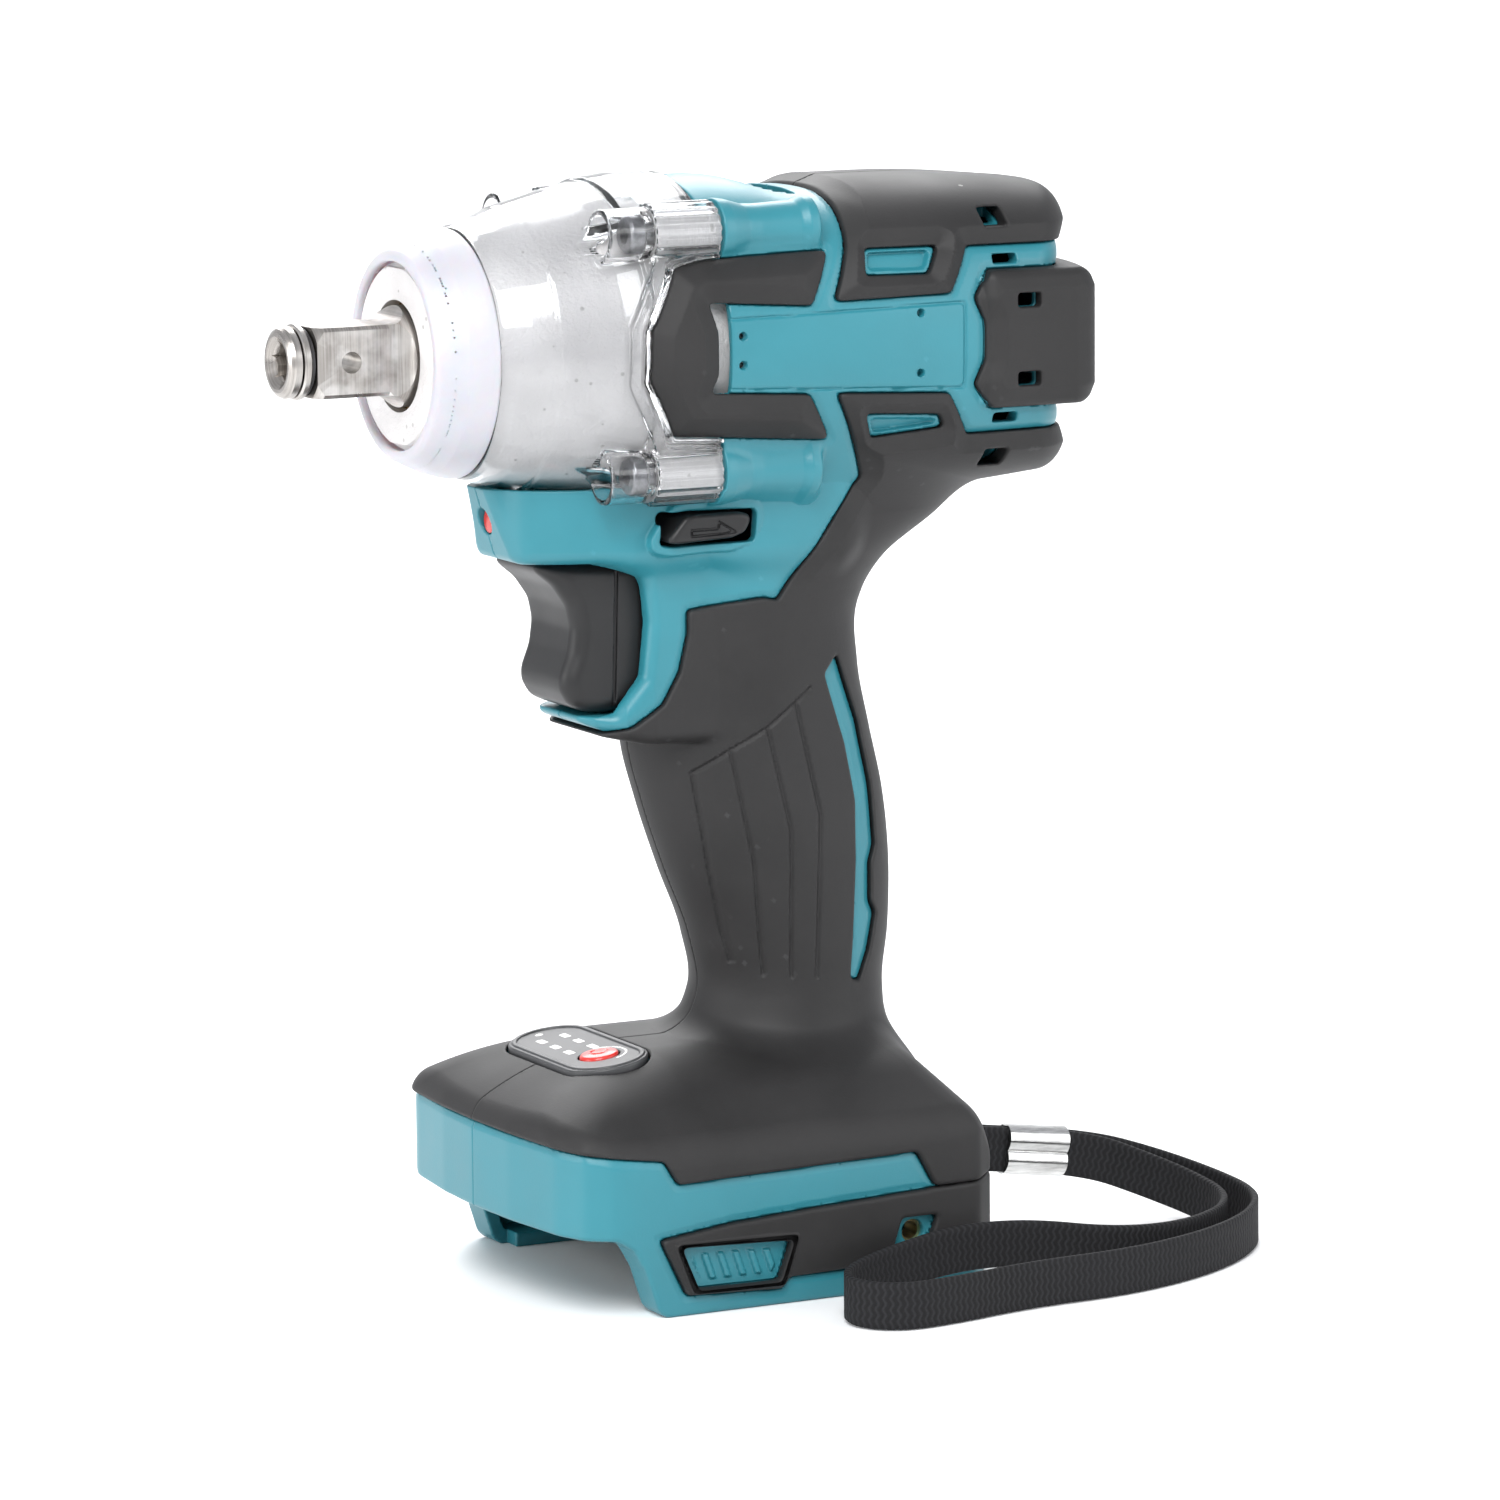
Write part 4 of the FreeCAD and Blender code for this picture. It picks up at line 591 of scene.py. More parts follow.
@dataclass(frozen=True)
class Finish:
    """A surface finish: base look plus amounts of the shared effects."""

    name: str
    colour: Colour
    roughness: float
    metallic: float = 0.0
    mottle: float = 0.06
    grain_scale: float = 2600.0
    grain_height: float = 0.00002
    rub: float = 0.0
    rub_colour: Colour = (0.6, 0.6, 0.6)
    dust: float = 0.0
    dust_scale: float = 900.0
    dust_colour: Colour = (0.55, 0.55, 0.52)
    marks: tuple[float, float, float] | None = None
    marks_height: float = 0.00002
    coat: float = 0.0
    transmission: float = 0.0
    ior: float = 1.49
    subsurface: float = 0.0
    weave: bool = False

    def build(self, shaders: Shaders) -> bpy.types.Material:
        """Makes the node material."""
        material = bpy.data.materials.new(self.name)
        material.use_nodes = True
        tree = material.node_tree
        tree.nodes.clear()
        end = add_node(tree, "OutputMaterial")
        shader = add_node(tree, "BsdfPrincipled")
        tree.links.new(shader.outputs[0], end.inputs[0])
        where = add_node(tree, "TexCoord").outputs["UV" if self.weave else "Object"]
        grain = self.group(tree, shaders.grain, where, Scale=self.grain_scale)
        heights = grain.outputs["Height"]
        distance = self.grain_height
        colour = self.varied(tree, grain.outputs["Mottle"])
        if self.marks:
            marks = self.group(tree, shaders.marks, where, Stretch=self.marks)
            heights, distance = marks.outputs["Height"], self.marks_height
            colour = self.mixed(tree, marks.outputs["Height"], colour,
                                tuple(0.72 * c for c in self.colour), 0.42, 0.6)
        if self.weave:
            weave = self.group(tree, shaders.weave, where)
            heights, distance = weave.outputs["Height"], 0.00012
            # Rib crests are painted up to 2.4 times lighter than the webbing's own black: a painted
            # highlight along the weave.
            colour = self.mixed(tree, weave.outputs["Height"], colour,
                                tuple(2.4 * c for c in self.colour), 0.3, 1.5)
        rough = self.ramp(tree, grain.outputs["Mottle"], self.roughness - 0.05, self.roughness + 0.06)
        if self.rub:
            rub = self.group(tree, shaders.edge, where)
            colour = self.mixed(tree, rub.outputs["Mask"], colour, self.rub_colour, 0.0, 1.0 / self.rub)
        if self.dust:
            dust = self.group(tree, shaders.speckles, where, Scale=self.dust_scale, Amount=self.dust)
            colour = self.mixed(tree, dust.outputs["Mask"], colour, self.dust_colour, 0.0, 1.6)
        tree.links.new(colour, shader.inputs["Base Color"])
        tree.links.new(rough, shader.inputs["Roughness"])
        bump = add_node(tree, "Bump", {"Height": heights}, Strength=0.55)
        bump.inputs["Distance"].default_value = distance
        tree.links.new(bump.outputs[0], shader.inputs["Normal"])
        for label, value in (("Metallic", self.metallic), ("Coat Weight", self.coat), ("IOR", self.ior),
                             ("Transmission Weight", self.transmission),
                             ("Subsurface Weight", self.subsurface), ("Subsurface Scale", 0.003)):
            shader.inputs[label].default_value = value
        return material

    def group(self, tree: Tree, group: Tree, where: Socket,
              **values: object) -> bpy.types.Node:
        """Adds a shared group fed with the coordinates."""
        node = tree.nodes.new("ShaderNodeGroup")
        node.node_tree = group
        tree.links.new(where, node.inputs["Vector"])
        for key, value in values.items():
            node.inputs[key].default_value = value
        return node

    def varied(self, tree: Tree, tone: Socket) -> Socket:
        """The base colour, a little lighter and darker from place to place."""
        dark = tuple(c * (1 - self.mottle) for c in self.colour)
        light = tuple(min(1.0, c * (1 + self.mottle)) for c in self.colour)
        ramp = add_node(tree, "MapRange", {0: tone}, in1=0.35, in2=0.65)
        mix = add_node(tree, "Mix", {0: ramp.outputs[0]}, data_type="RGBA")
        mix.inputs[6].default_value, mix.inputs[7].default_value = (*dark, 1), (*light, 1)
        return mix.outputs[2]

    def mixed(self, tree: Tree, mask: Socket, colour: Socket,
              other: Colour, low: float, high: float) -> Socket:
        """The colour with another one mixed in where the mask runs from low to high."""
        ramp = add_node(tree, "MapRange", {0: mask}, in1=low, in2=high)
        mix = add_node(tree, "Mix", {0: ramp.outputs[0], 6: colour}, data_type="RGBA")
        mix.inputs[7].default_value = (*[min(1.0, c) for c in other], 1)
        return mix.outputs[2]

    def ramp(self, tree: Tree, tone: Socket, low: float, high: float) -> Socket:
        """A tone spread between two values."""
        node = add_node(tree, "MapRange", {0: tone}, in1=0.3, in2=0.7, in3=max(0.02, low),
                        in4=min(1.0, high))
        return node.outputs[0]


FINISHES = {finish.name: finish for finish in (
    Finish("teal_shell", (0.018, 0.165, 0.205), 0.38, grain_scale=2200, grain_height=0.00003,
           dust=0.004, dust_scale=700, rub=0.25, rub_colour=(0.08, 0.32, 0.38)),
    Finish("soft_grip", (0.0125, 0.012, 0.0122), 0.58, ior=1.40, mottle=0.25, grain_scale=1800,
           grain_height=0.00004, dust=0.035, dust_scale=650, dust_colour=(0.22, 0.22, 0.21), rub=0.2,
           rub_colour=(0.09, 0.09, 0.095)),
    Finish("drive_steel", (0.40, 0.375, 0.35), 0.3, 1.0, marks=(3800.0, 60.0, 60.0),
           marks_height=0.00003, rub=0.5, rub_colour=(0.85, 0.84, 0.82)),
    Finish("seal_rubber", (0.02, 0.02, 0.021), 0.5, mottle=0.2),
    Finish("bushing_bronze", (0.42, 0.27, 0.12), 0.4, 1.0, mottle=0.2),
    Finish("cast_case", (0.66, 0.645, 0.64), 0.58, 0.55, mottle=0.12, grain_scale=1100,
           grain_height=0.00035, dust=0.16, dust_scale=760, dust_colour=(0.34, 0.33, 0.32)),
    Finish("bumper_translucent", (0.66, 0.655, 0.70), 0.36, transmission=0.45, ior=1.42,
           subsurface=0.4),
    Finish("clear_plastic", (0.93, 0.94, 0.95), 0.07, transmission=1.0, ior=1.46, mottle=0.02,
           grain_scale=300, grain_height=0.000004),
    Finish("screw_steel", (0.22, 0.22, 0.23), 0.35, 1.0, marks=(900.0, 900.0, 900.0)),
    Finish("hardened_steel", (0.34, 0.33, 0.33), 0.33, 1.0, marks=(2400.0, 80.0, 80.0)),
    Finish("motor_laminations", (0.2, 0.2, 0.21), 0.45, 1.0, marks=(2600.0, 40.0, 40.0)),
    Finish("copper", (0.72, 0.29, 0.12), 0.3, 1.0, marks=(60.0, 3000.0, 3000.0)),
    Finish("black_plastic", (0.010, 0.010, 0.0105), 0.42, ior=1.40, mottle=0.2, dust=0.01,
           dust_colour=(0.2, 0.2, 0.2)),
    Finish("board_green", (0.01, 0.12, 0.05), 0.4, mottle=0.2),
    Finish("lamp_lens", (0.55, 0.03, 0.02), 0.12, coat=0.6, subsurface=0.3),
    Finish("panel_label", (0.035, 0.036, 0.038), 0.42, mottle=0.15, grain_height=0.00001, dust=0.012,
           dust_colour=(0.3, 0.3, 0.3)),
    Finish("panel_marks", (0.72, 0.72, 0.70), 0.5, mottle=0.05),
    Finish("button_red", (0.55, 0.018, 0.012), 0.34, coat=0.3, mottle=0.1),
    Finish("terminal_metal", (0.75, 0.6, 0.3), 0.3, 1.0, marks=(2400.0, 60.0, 60.0)),
    Finish("strap_webbing", (0.007, 0.007, 0.0078), 0.8, ior=1.33, mottle=0.3, weave=True),
    Finish("clamp_steel", (0.62, 0.62, 0.61), 0.16, 1.0, marks=(120.0, 1500.0, 1500.0)),
)}


class Wardrobe:
    """Hands out each finish's material, built on first use."""

    def __init__(self) -> None:
        """Starts with the shared shader groups."""
        self.shaders = Shaders()
        self.made: dict[str, bpy.types.Material] = {}

    def material(self, name: str) -> bpy.types.Material:
        """The material of a finish."""
        if name not in self.made:
            self.made[name] = FINISHES[name].build(self.shaders)
        return self.made[name]

    def dress(self, obj: Thing, name: str) -> None:
        """Gives the whole object one finish."""
        obj.data.materials.clear()
        obj.data.materials.append(self.material(name))


WARDROBE = Wardrobe()


def settle(piece: Thing, finish: str, body: Body, node: str) -> None:
    """Dresses a new piece, puts it on its body and lets it stand for a CAD node."""
    WARDROBE.dress(piece, finish)
    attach(piece, body.value)
    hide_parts(node)


# ---- outlines, station and height over the axis
CHEVRON = [
    (60, 4.8), (66.1, 15.9), (71.2, 17), (97, 17.8), (91.8, 8), (71.8, 9.3), (73.2, 4.4), (73.2, -3.9),
    (71.8, -6.7), (91.3, -7.8), (96.8, -16.8), (77.7, -15.4), (71.6, -15), (65.5, -14.7), (59.6, -4),
]
UPPER_REAR = [
    (106, 36), (104.3, 28), (103.1, 26.2), (100.7, 18.2), (96.3, 8.5), (120.2, 8.9), (124.9, 17.1),
    (165, 16.8), (165, 36),
]
CAP = [
    (128.2, 12.9), (125, 7.8), (126.9, 3.5), (126.9, -3.5), (124.9, -7.9), (128.4, -12.6), (165, -12.7),
    (165, 12.7),
]
BODY_GRIP = [
    (96.6, -7.9), (119.8, -9.1), (124.9, -17.2), (170, -16.9), (170, -154.2), (111.4, -154.2),
    (107.6, -147.4), (58.8, -148.5), (56.1, -144), (36.1, -141.2), (20, -141.1), (20, -100), (45, -75),
    (53, -71.2), (58.6, -69.6), (62.8, -68.6), (68.7, -64.6), (72, -59), (73.7, -52.1), (73.7, -47.7),
    (88, -46), (90.7, -46.6), (105.7, -24.5),
]
FOOT_PANEL = [
    (55, -158.2), (69.7, -156.4), (85.4, -155.5), (109.3, -154.4), (111.4, -154.2), (170, -153.8),
    (170, -166.6), (120, -166.6), (112, -166.8), (96, -167.6), (81.3, -167.9), (79.9, -169.9),
    (60.3, -169.1),
]
GRIP_STRIP = [
    (104.5, -58.2), (101.4, -61.3), (106.2, -74.4), (108.4, -85.4), (108.2, -97.3), (106.9, -118.7),
    (108.9, -119.4), (111.3, -114.3), (113.2, -107.3), (111.7, -104.8), (111.9, -97.6), (113.4, -94.7),
    (112.8, -83.3), (110.2, -71.2),
]
BADGE = [(59.6, -160.2), (81.4, -161.1), (79, -167.9), (62.8, -167.7)]
BADGE_FRAME = [(57.4, -158.9), (83.4, -159.5), (80.2, -169.3), (61.2, -169)]
HOOK_DIAMOND = [(104.6, -159.5), (111.8, -159.5), (109.6, -165.3), (102.7, -165.2)]
SIDE_PANEL = [(71.1, 7.1), (71, -7), (123.8, -9.3), (123.9, 8.2)]
GUARD = [
    (58, -36), (61.2, -37.8), (65.7, -41), (66.6, -49.8), (65.5, -59.7), (60.2, -66.2), (55, -66.3),
    (54.6, -67.6), (58.6, -69.6), (66, -71.2), (92, -72), (92, -34),
]
UPPER_SLOT = [(103.2, 12.9), (104.2, 17.5), (118.9, 17.4), (116, 12.7)]
LOWER_SLOT = [(103, -12.2), (118.1, -13.1), (119.5, -15.5), (105, -16.7)]
FOOT_SIDE = [(25, -157), (47, -157.8), (50.2, -159.8), (52.6, -164), (55, -171.4), (56.5, -172.8),
             (140, -172.8),
             (140, -110), (25, -110)]
FOOT_PLAN = [(36.1, 0), (36.7, 14), (38.7, 30), (41.4, 36.4), (46.1, 38.9), (50, 39.2), (113, 39.2),
             (120.5, 38.6),
             (126.4, 32), (130.2, 20), (131, 8)]
GRIP_GROOVES = [
    [(76.1, -78.3), (82, -74.1), (88.8, -70.2), (94.5, -65.9), (97.6, -63.5)],
    [(82, -74.1), (87.1, -95.2), (89.9, -116.8)], [(88.8, -70.2), (93.7, -89.8), (94.5, -117.3)],
    [(94.5, -65.9), (99.7, -87.3), (99.2, -117.7)], [(76.1, -78.3), (80.5, -97.6), (85.3, -114.6)],
]
LEVER_PAD = [
    (66.4, -34.3), (67.4, -32.7), (69.9, -29.8), (71.5, -29.5), (81, -29.4), (83.2, -30), (83.3, -31.3),
    (82.2, -33.2), (79.6, -34.1), (68.3, -34.6),
]
ARROW = [(71.1, -32.2), (76.6, -32.2), (76.6, -30.9), (80.1, -33), (76.6, -33.2), (71.1, -33.3)]
TRIGGER_SIDE = [
    (46, -38.3), (46.3, -39.6), (50, -42.5), (52.8, -46.5), (53.6, -50.5), (53, -55), (51.3, -59.3),
    (51.3, -61.8), (53, -64.6), (56, -66), (60, -66.4), (69, -65.6), (69, -38.3),
]
SCREW_POSTS = [(54, -31), (106, -48), (97, -86), (101.5, -120), (44.5, -142.5), (113.5, -141),
               (143.2, -21)]
VENTS = [(131.5, 22, 2.5, 1.6), (131.5, -22, 2.5, 1.6), (132.5, 14.5, 2.6, 0.9), (132.5, -14.5, 2.6, 0.9),
         (135.2, 7.2, 2.4, 1.3), (135.2, -7.2, 2.4, 1.3)]
SMALL_HOLES = [(78, 3.2), (78, -2), (113.8, 5.7), (113.7, -5.2)]


# ---- the moulded housing
@dataclass
class Housing:
    """Two hard halves and the soft skins moulded over them."""

    wall: float = 2.7
    lowered: float = 0.85
    gap: float = 0.16
    channel_half_width: float = 31.4
    channel_height: float = 14.2
    grip_table: Sequence[tuple[float, float, float, float]] = (
        (36.0, 97.0, 28.5, 26.5), (44.5, 99.7, 20.6, 18.7), (51.0, 101.0, 18.5, 17.0),
        (62.0, 101.0, 19.8, 17.0), (75.0, 98.7, 22.5, 17.4), (88.0, 95.8, 24.1, 17.8),
        (100.0, 93.0, 24.2, 18.0), (112.0, 92.5, 22.2, 18.2), (124.0, 92.4, 22.6, 18.6),
        (132.0, 93.4, 27.0, 19.2), (140.0, 96.0, 36.0, 20.2), (152.0, 98.0, 42.0, 22.5),
    )
    outlines: dict[str, Table] = field(default_factory=dict)

    def __post_init__(self) -> None:
        """Draws every outline's distance table."""
        for name, corners in (
            ("chevron", CHEVRON), ("upper", UPPER_REAR), ("cap", CAP), ("body", BODY_GRIP),
            ("foot", FOOT_PANEL), ("strip", GRIP_STRIP), ("badge", BADGE), ("frame", BADGE_FRAME),
            ("diamond", HOOK_DIAMOND), ("guard", GUARD), ("panel", SIDE_PANEL),
            ("upper_slot", UPPER_SLOT), ("lower_slot", LOWER_SLOT), ("foot_side", FOOT_SIDE),
            ("lever", LEVER_PAD),
        ):
            self.outlines[name] = Outline(corners, 0.45)
        self.outlines["plan"] = Outline(FOOT_PLAN + [(n, -y) for n, y in FOOT_PLAN[::-1] if y > 0], 1.0)
        self.outlines["grooves"] = Scribe(GRIP_GROOVES)

    def shape(self, name: str, p: Spots) -> Array:
        """Distance to an outline drawn on the tool's side."""
        return self.outlines[name](p.n, p.h)

    def head(self, p: Spots) -> Array:
        """The motor housing: a superellipse that gets squarer to the rear, with a bowed back."""
        wide = flowing(p.n, (58, 75, 90, 105, 125, 150), (29.6, 30.2, 31.0, 31.4, 31.2, 30.0))
        tall = flowing(p.n, (58, 75, 86, 93.5, 100, 106, 130, 150),
                       (29.8, 30.3, 30.0, 28.3, 27.6, 27.4, 27.0, 25.2))
        power = through(p.n, (58, 85, 105, 150), (2.0, 2.25, 2.6, 2.9))
        ratio = (p.side / wide) ** power + (np.abs(p.h) / tall) ** power
        round_part = (np.maximum(ratio, 1e-6) ** (1 / power) - 1) * np.minimum(wide, tall)
        back = np.hypot(np.maximum(p.n, 102) - 102, p.y) - 50.2
        body = both(round_part, back, 3.0)
        rim = np.hypot(p.n - 75, p.y) - 79.6
        cap = both(both(np.abs(p.h) - 12.4, p.side - 31.6, 1.4), both(rim, 126.6 - p.n), 2.2)
        return either(body, cap, 0.7)

    def bosses(self, p: Spots) -> Array:
        """The rear ends of the four screw bosses."""
        radius = through(p.n, (75.7, 78, 81.5, 84, 92, 93.5, 95.5), (6.0, 5.7, 4.7, 4.6, 4.9, 5.6, 5.6))
        pipe = p.boss()
        return both(both(pipe - radius, p.n - 95.6, 0.8), 75.3 - p.n)

    def chin(self, p: Spots) -> Array:
        """The block under the nose that holds the lamp."""
        half = flowing(p.n, (38, 41, 43.5, 48, 56, 66, 78, 102),
                       (4.0, 6.5, 9.8, 13.2, 16.2, 18.4, 19.6, 19.8))
        rake = (p.n - 38.4) * -0.958 + (p.h + 24) * -0.287
        box = both(p.side - half, both(-38.2 - p.h, p.h + 20), 2.5)
        return both(box, both(rake, p.n - 104), 1.5)

    def grip(self, p: Spots) -> Array:
        """The handle, an ellipse in every level section."""
        stops, middles, lengths, widths = zip(*self.grip_table)
        middle, a, b = (flowing(p.g, stops, row) for row in (middles, lengths, widths))
        a, b = a - 0.8, b - 0.8
        u, v = p.n - middle, p.y
        near = np.hypot(u / a, v / b)
        slope = np.hypot(u / (a * a), v / (b * b))
        ring = near * (near - 1) / np.maximum(slope, 1e-5)
        return both(ring, both(36 - p.g, p.g - 152))

    def deck(self, p: Spots) -> Array:
        """The foot: bowed plan, sloping roof faces and a skirt cut back in front."""
        side = (p.side - 39.0) * 0.573 + (p.g - 30.5) * 0.8195
        front = (p.n - 36.3) * -0.63 + (p.g - 33.0) * 0.777
        rear = both((p.n - 131.0) * 0.819 + (p.g - 20.0) * 0.573,
                    (p.n - 124.0) * 0.8 + (p.g - 30.0) * 0.6, 3.0)
        top = p.g - np.minimum(40.7 + 0.15 * (p.n - 50), 43.2)
        roof = both(both(side, front, 5.0), both(rear, top, 4.0), 5.0)
        walls = self.outlines["plan"](p.n, p.y) + 0.2
        return both(both(walls, roof, 2.5), self.shape("foot_side", p), 0.8)

    def form(self, p: Spots) -> Array:
        """The whole outer form of the hard plastic."""
        half = through(p.n, (53, 57, 62, 67), (7.5, 11.5, 14.2, 15.2))
        guard = both(self.shape("guard", p), p.side - half, 2.0)
        collar = np.abs(self.shape("lever", p) - 1.5) - 0.8
        chin = either(self.chin(p), both(collar, p.side - 20.6, 0.5), 0.3)
        front = np.minimum(75.3 - p.n, self.shape("chevron", p) - 1.0)
        head = np.maximum(self.head(p), front)
        upper = either(either(head, self.bosses(p), 1.6), chin, 1.0)
        grip = either(self.grip(p), guard, 2.0)
        return either(either(upper, grip, 6.0), self.deck(p), 5.0)

    def zone(self, p: Spots) -> Array:
        """Distance into the soft skin's areas, seen from the side."""
        areas = [self.shape(name, p) for name in ("chevron", "upper", "cap", "body", "foot")]
        bare = [self.shape(name, p) for name in ("strip", "badge", "diamond", "upper_slot", "lower_slot")]
        return np.maximum(np.minimum.reduce(areas), -np.minimum.reduce(bare))

    def proud(self, p: Spots, zone: Array) -> Array:
        """How far the skin stands over the hard form."""
        depth = np.maximum(-zone, 0)
        rise = 0.9 * np.sqrt(np.maximum(1 - (1 - np.minimum(depth / 0.9, 1)) ** 2, 0))
        bevel = np.minimum(0.35 + 0.42 * depth, 1.9)
        upper = np.clip((p.h + 46) / 14, 0, 1)
        rim = np.minimum(-self.shape("frame", p), self.shape("badge", p))
        return rise * (1 - upper) + bevel * upper + 0.6 * np.clip(rim / 0.6, 0, 1)

    def openings(self, p: Spots) -> Array:
        """Everything cut through the wall."""
        case = p.pipe_x(through(p.n, (30, 33.8, 45, 56, 60, 75), (19.8, 21.6, 25.2, 27.2, 28.6, 28.9)))
        case = both(case, p.n - 98.5)
        channel = both(both(p.side - self.channel_half_width, p.g - self.channel_height, 0.8),
                       p.n - 118.5, 0.8)
        rails = both(both(27.4 - p.side, p.side - 33), both(p.g - 3.4, both(58.0 - p.n, p.n - 118.6)))
        trigger = both(both(p.side - 11.3, both(52.0 - p.n, p.n - 76.2), 0.5),
                       both(p.h + 37.9, -66.7 - p.h), 0.6)
        lever = both(both(66.0 - p.n, p.n - 84.9), both(-35.2 - p.h, p.h + 29.0), 1.2)
        lamp = both(np.hypot(p.y, p.h + 30.9) - 2.45, p.n - 52)
        strap = both(both(p.side - 3.6, both(12.2 - p.g, p.g - 23.4), 1.4), 121 - p.n)
        cut = np.minimum.reduce([case, less(channel, rails), trigger, lever, lamp, strap,
                                 self.panel_room(p)])
        for n, h, half_length, half_height in VENTS:
            vent = both(np.abs(p.n - n) - half_length, np.abs(p.h - h) - half_height, 0.6)
            cut = np.minimum(cut, both(vent, 18.0 - p.side))
        hook = both(p.pipe_y(107.4, 10.5, 2.2), 31.0 - p.side)
        return np.minimum(cut, hook)

    def panel_room(self, p: Spots) -> Array:
        """The long round-ended recess for the mode panel."""
        level = p.g - 39.0 - 0.12 * (p.n - 58)
        across = p.panel(8.35)
        return both(both(across, -level), p.g - 56)

    def front_limit(self, p: Spots) -> Array:
        """The hard plastic stays behind the clear cover, but for the chevron and the chin."""
        bare = np.minimum(self.shape("chevron", p), p.h + 24.6)
        return np.minimum(75.75 - p.n, bare)

    def seam(self, p: Spots) -> Array:
        """Where the two halves meet."""
        return p.y + 0.045

    def screw_cups(self, p: Spots) -> Array:
        """Counterbored holes for the screws that join the halves."""
        cups = np.full(p.n.shape, 99.0, np.float32)
        for n, h in SCREW_POSTS:
            ring = np.hypot(p.n - n, p.h - h)
            cups = np.minimum(cups, np.minimum(ring - 1.55, both(ring - 3.1, 9.0 - p.side, 0.2)))
        return cups

    def screw_side(self, p: Spots) -> list[Array]:
        """Fields of the half that the screws go in from, before it is mirrored."""
        return self.carve_out(p, self.screw_cups(p))

    def carve_out(self, p: Spots, extra: Array | None = None) -> list[Array]:
        """Fields of the hard half and of the soft skin on the side of negative Y.

        Args:
            p: The points.
            extra: Distance to more cuts, if any.

        Returns:
            Distances to the hard half and to the skin.
        """
        form = self.form(p)
        zone = self.zone(p)
        cuts = self.openings(p)
        if extra is not None:
            cuts = np.minimum(cuts, extra)
        inner = form + self.wall
        room = -inner
        sunk = self.lowered * np.clip(-zone / 0.3 + 0.4, 0, 1)
        marks = self.hard_marks(p, zone)
        hard = np.maximum(form + sunk + marks, room)
        hard = both(hard, self.front_limit(p), 0.3)
        hard = both(less(hard, cuts, 0.25), self.seam(p), 0.22)
        soft = form - self.proud(p, zone)
        grooves = self.shape("grooves", p)
        soft = soft + 0.55 * np.clip(1 - grooves / 0.55, 0, 1) * (p.side > 3)
        soft = both(both(soft, zone + self.gap, 0.2), -(form + self.lowered - 0.1))
        soft = both(less(soft, cuts, 0.5), self.seam(p), 0.3)
        soft = np.maximum(soft, self.front_limit(p))
        return [hard, soft]

    def hard_marks(self, p: Spots, zone: Array) -> Array:
        """Shallow lines in the hard plastic: round the side panel, along the skin, and small holes."""
        frame_line = np.abs(self.shape("panel", p) + 0.9) - 0.22
        sunk = 0.35 * np.clip(0.5 - frame_line / 0.3, 0, 1) * (p.side > 25)
        ledge = 0.22 * np.clip(1.35 - zone, 0, 1) * (zone < 1.6)
        holes = np.full(p.n.shape, 9.0, np.float32)
        for n, h in SMALL_HOLES:
            holes = np.minimum(holes, np.hypot(p.n - n, p.h - h) - 0.65)
        hollow = 1.6 * np.clip(0.5 - holes / 0.3, 0, 1) * (p.side > 25)
        diamond = self.shape("diamond", p)
        plate = 0.9 * np.clip(0.5 - diamond / 0.3, 0, 1) * (p.side > 30)
        inside = self.shape("badge", p)
        rib = np.abs((p.n + 0.35 * p.h) % 3.1 - 1.55) - 0.62
        raised = np.clip(0.5 - np.maximum(rib, inside + 1.3) / 0.3, 0, 1)
        badge = (0.75 - 0.5 * raised) * np.clip(0.5 - inside / 0.3, 0, 1) * (p.side > 30)
        slots = np.minimum(self.shape("upper_slot", p), self.shape("lower_slot", p))
        deep = 1.1 * np.clip(0.3 - (slots + 0.7) / 0.4, 0, 1)
        return np.maximum.reduce([sunk, ledge, hollow, plate, badge, deep])

    def build(self) -> None:
        """Carves both sides, the right one mirrored into place, and dresses the four pieces."""
        step = 0.42
        carver = Carver(step)
        low, high = (33.0 + NOSE, -40.2, -0.6), (157.0 + NOSE, 0.6, AXIS + 32.6)
        hard, soft = carver.carve(["shell_left", "skin_left"], self.carve_out, low, high)
        drafts = carver.carve(["shell_draft", "skin_draft"], self.screw_side, low, high)
        hard_right, soft_right = (mirrored_copy(draft, name) for draft,
                                  name in zip(drafts, ("shell_right", "skin_right")))
        for draft in drafts:
            bpy.data.objects.remove(draft)
        for piece, node, finish in ((hard, "left_housing", "teal_shell"),
                                    (hard_right, "right_housing", "teal_shell"),
                                    (soft, "left_overmould", "soft_grip"),
                                    (soft_right, "right_overmould", "soft_grip")):
            settle(piece, finish, Body.HOUSING, node)


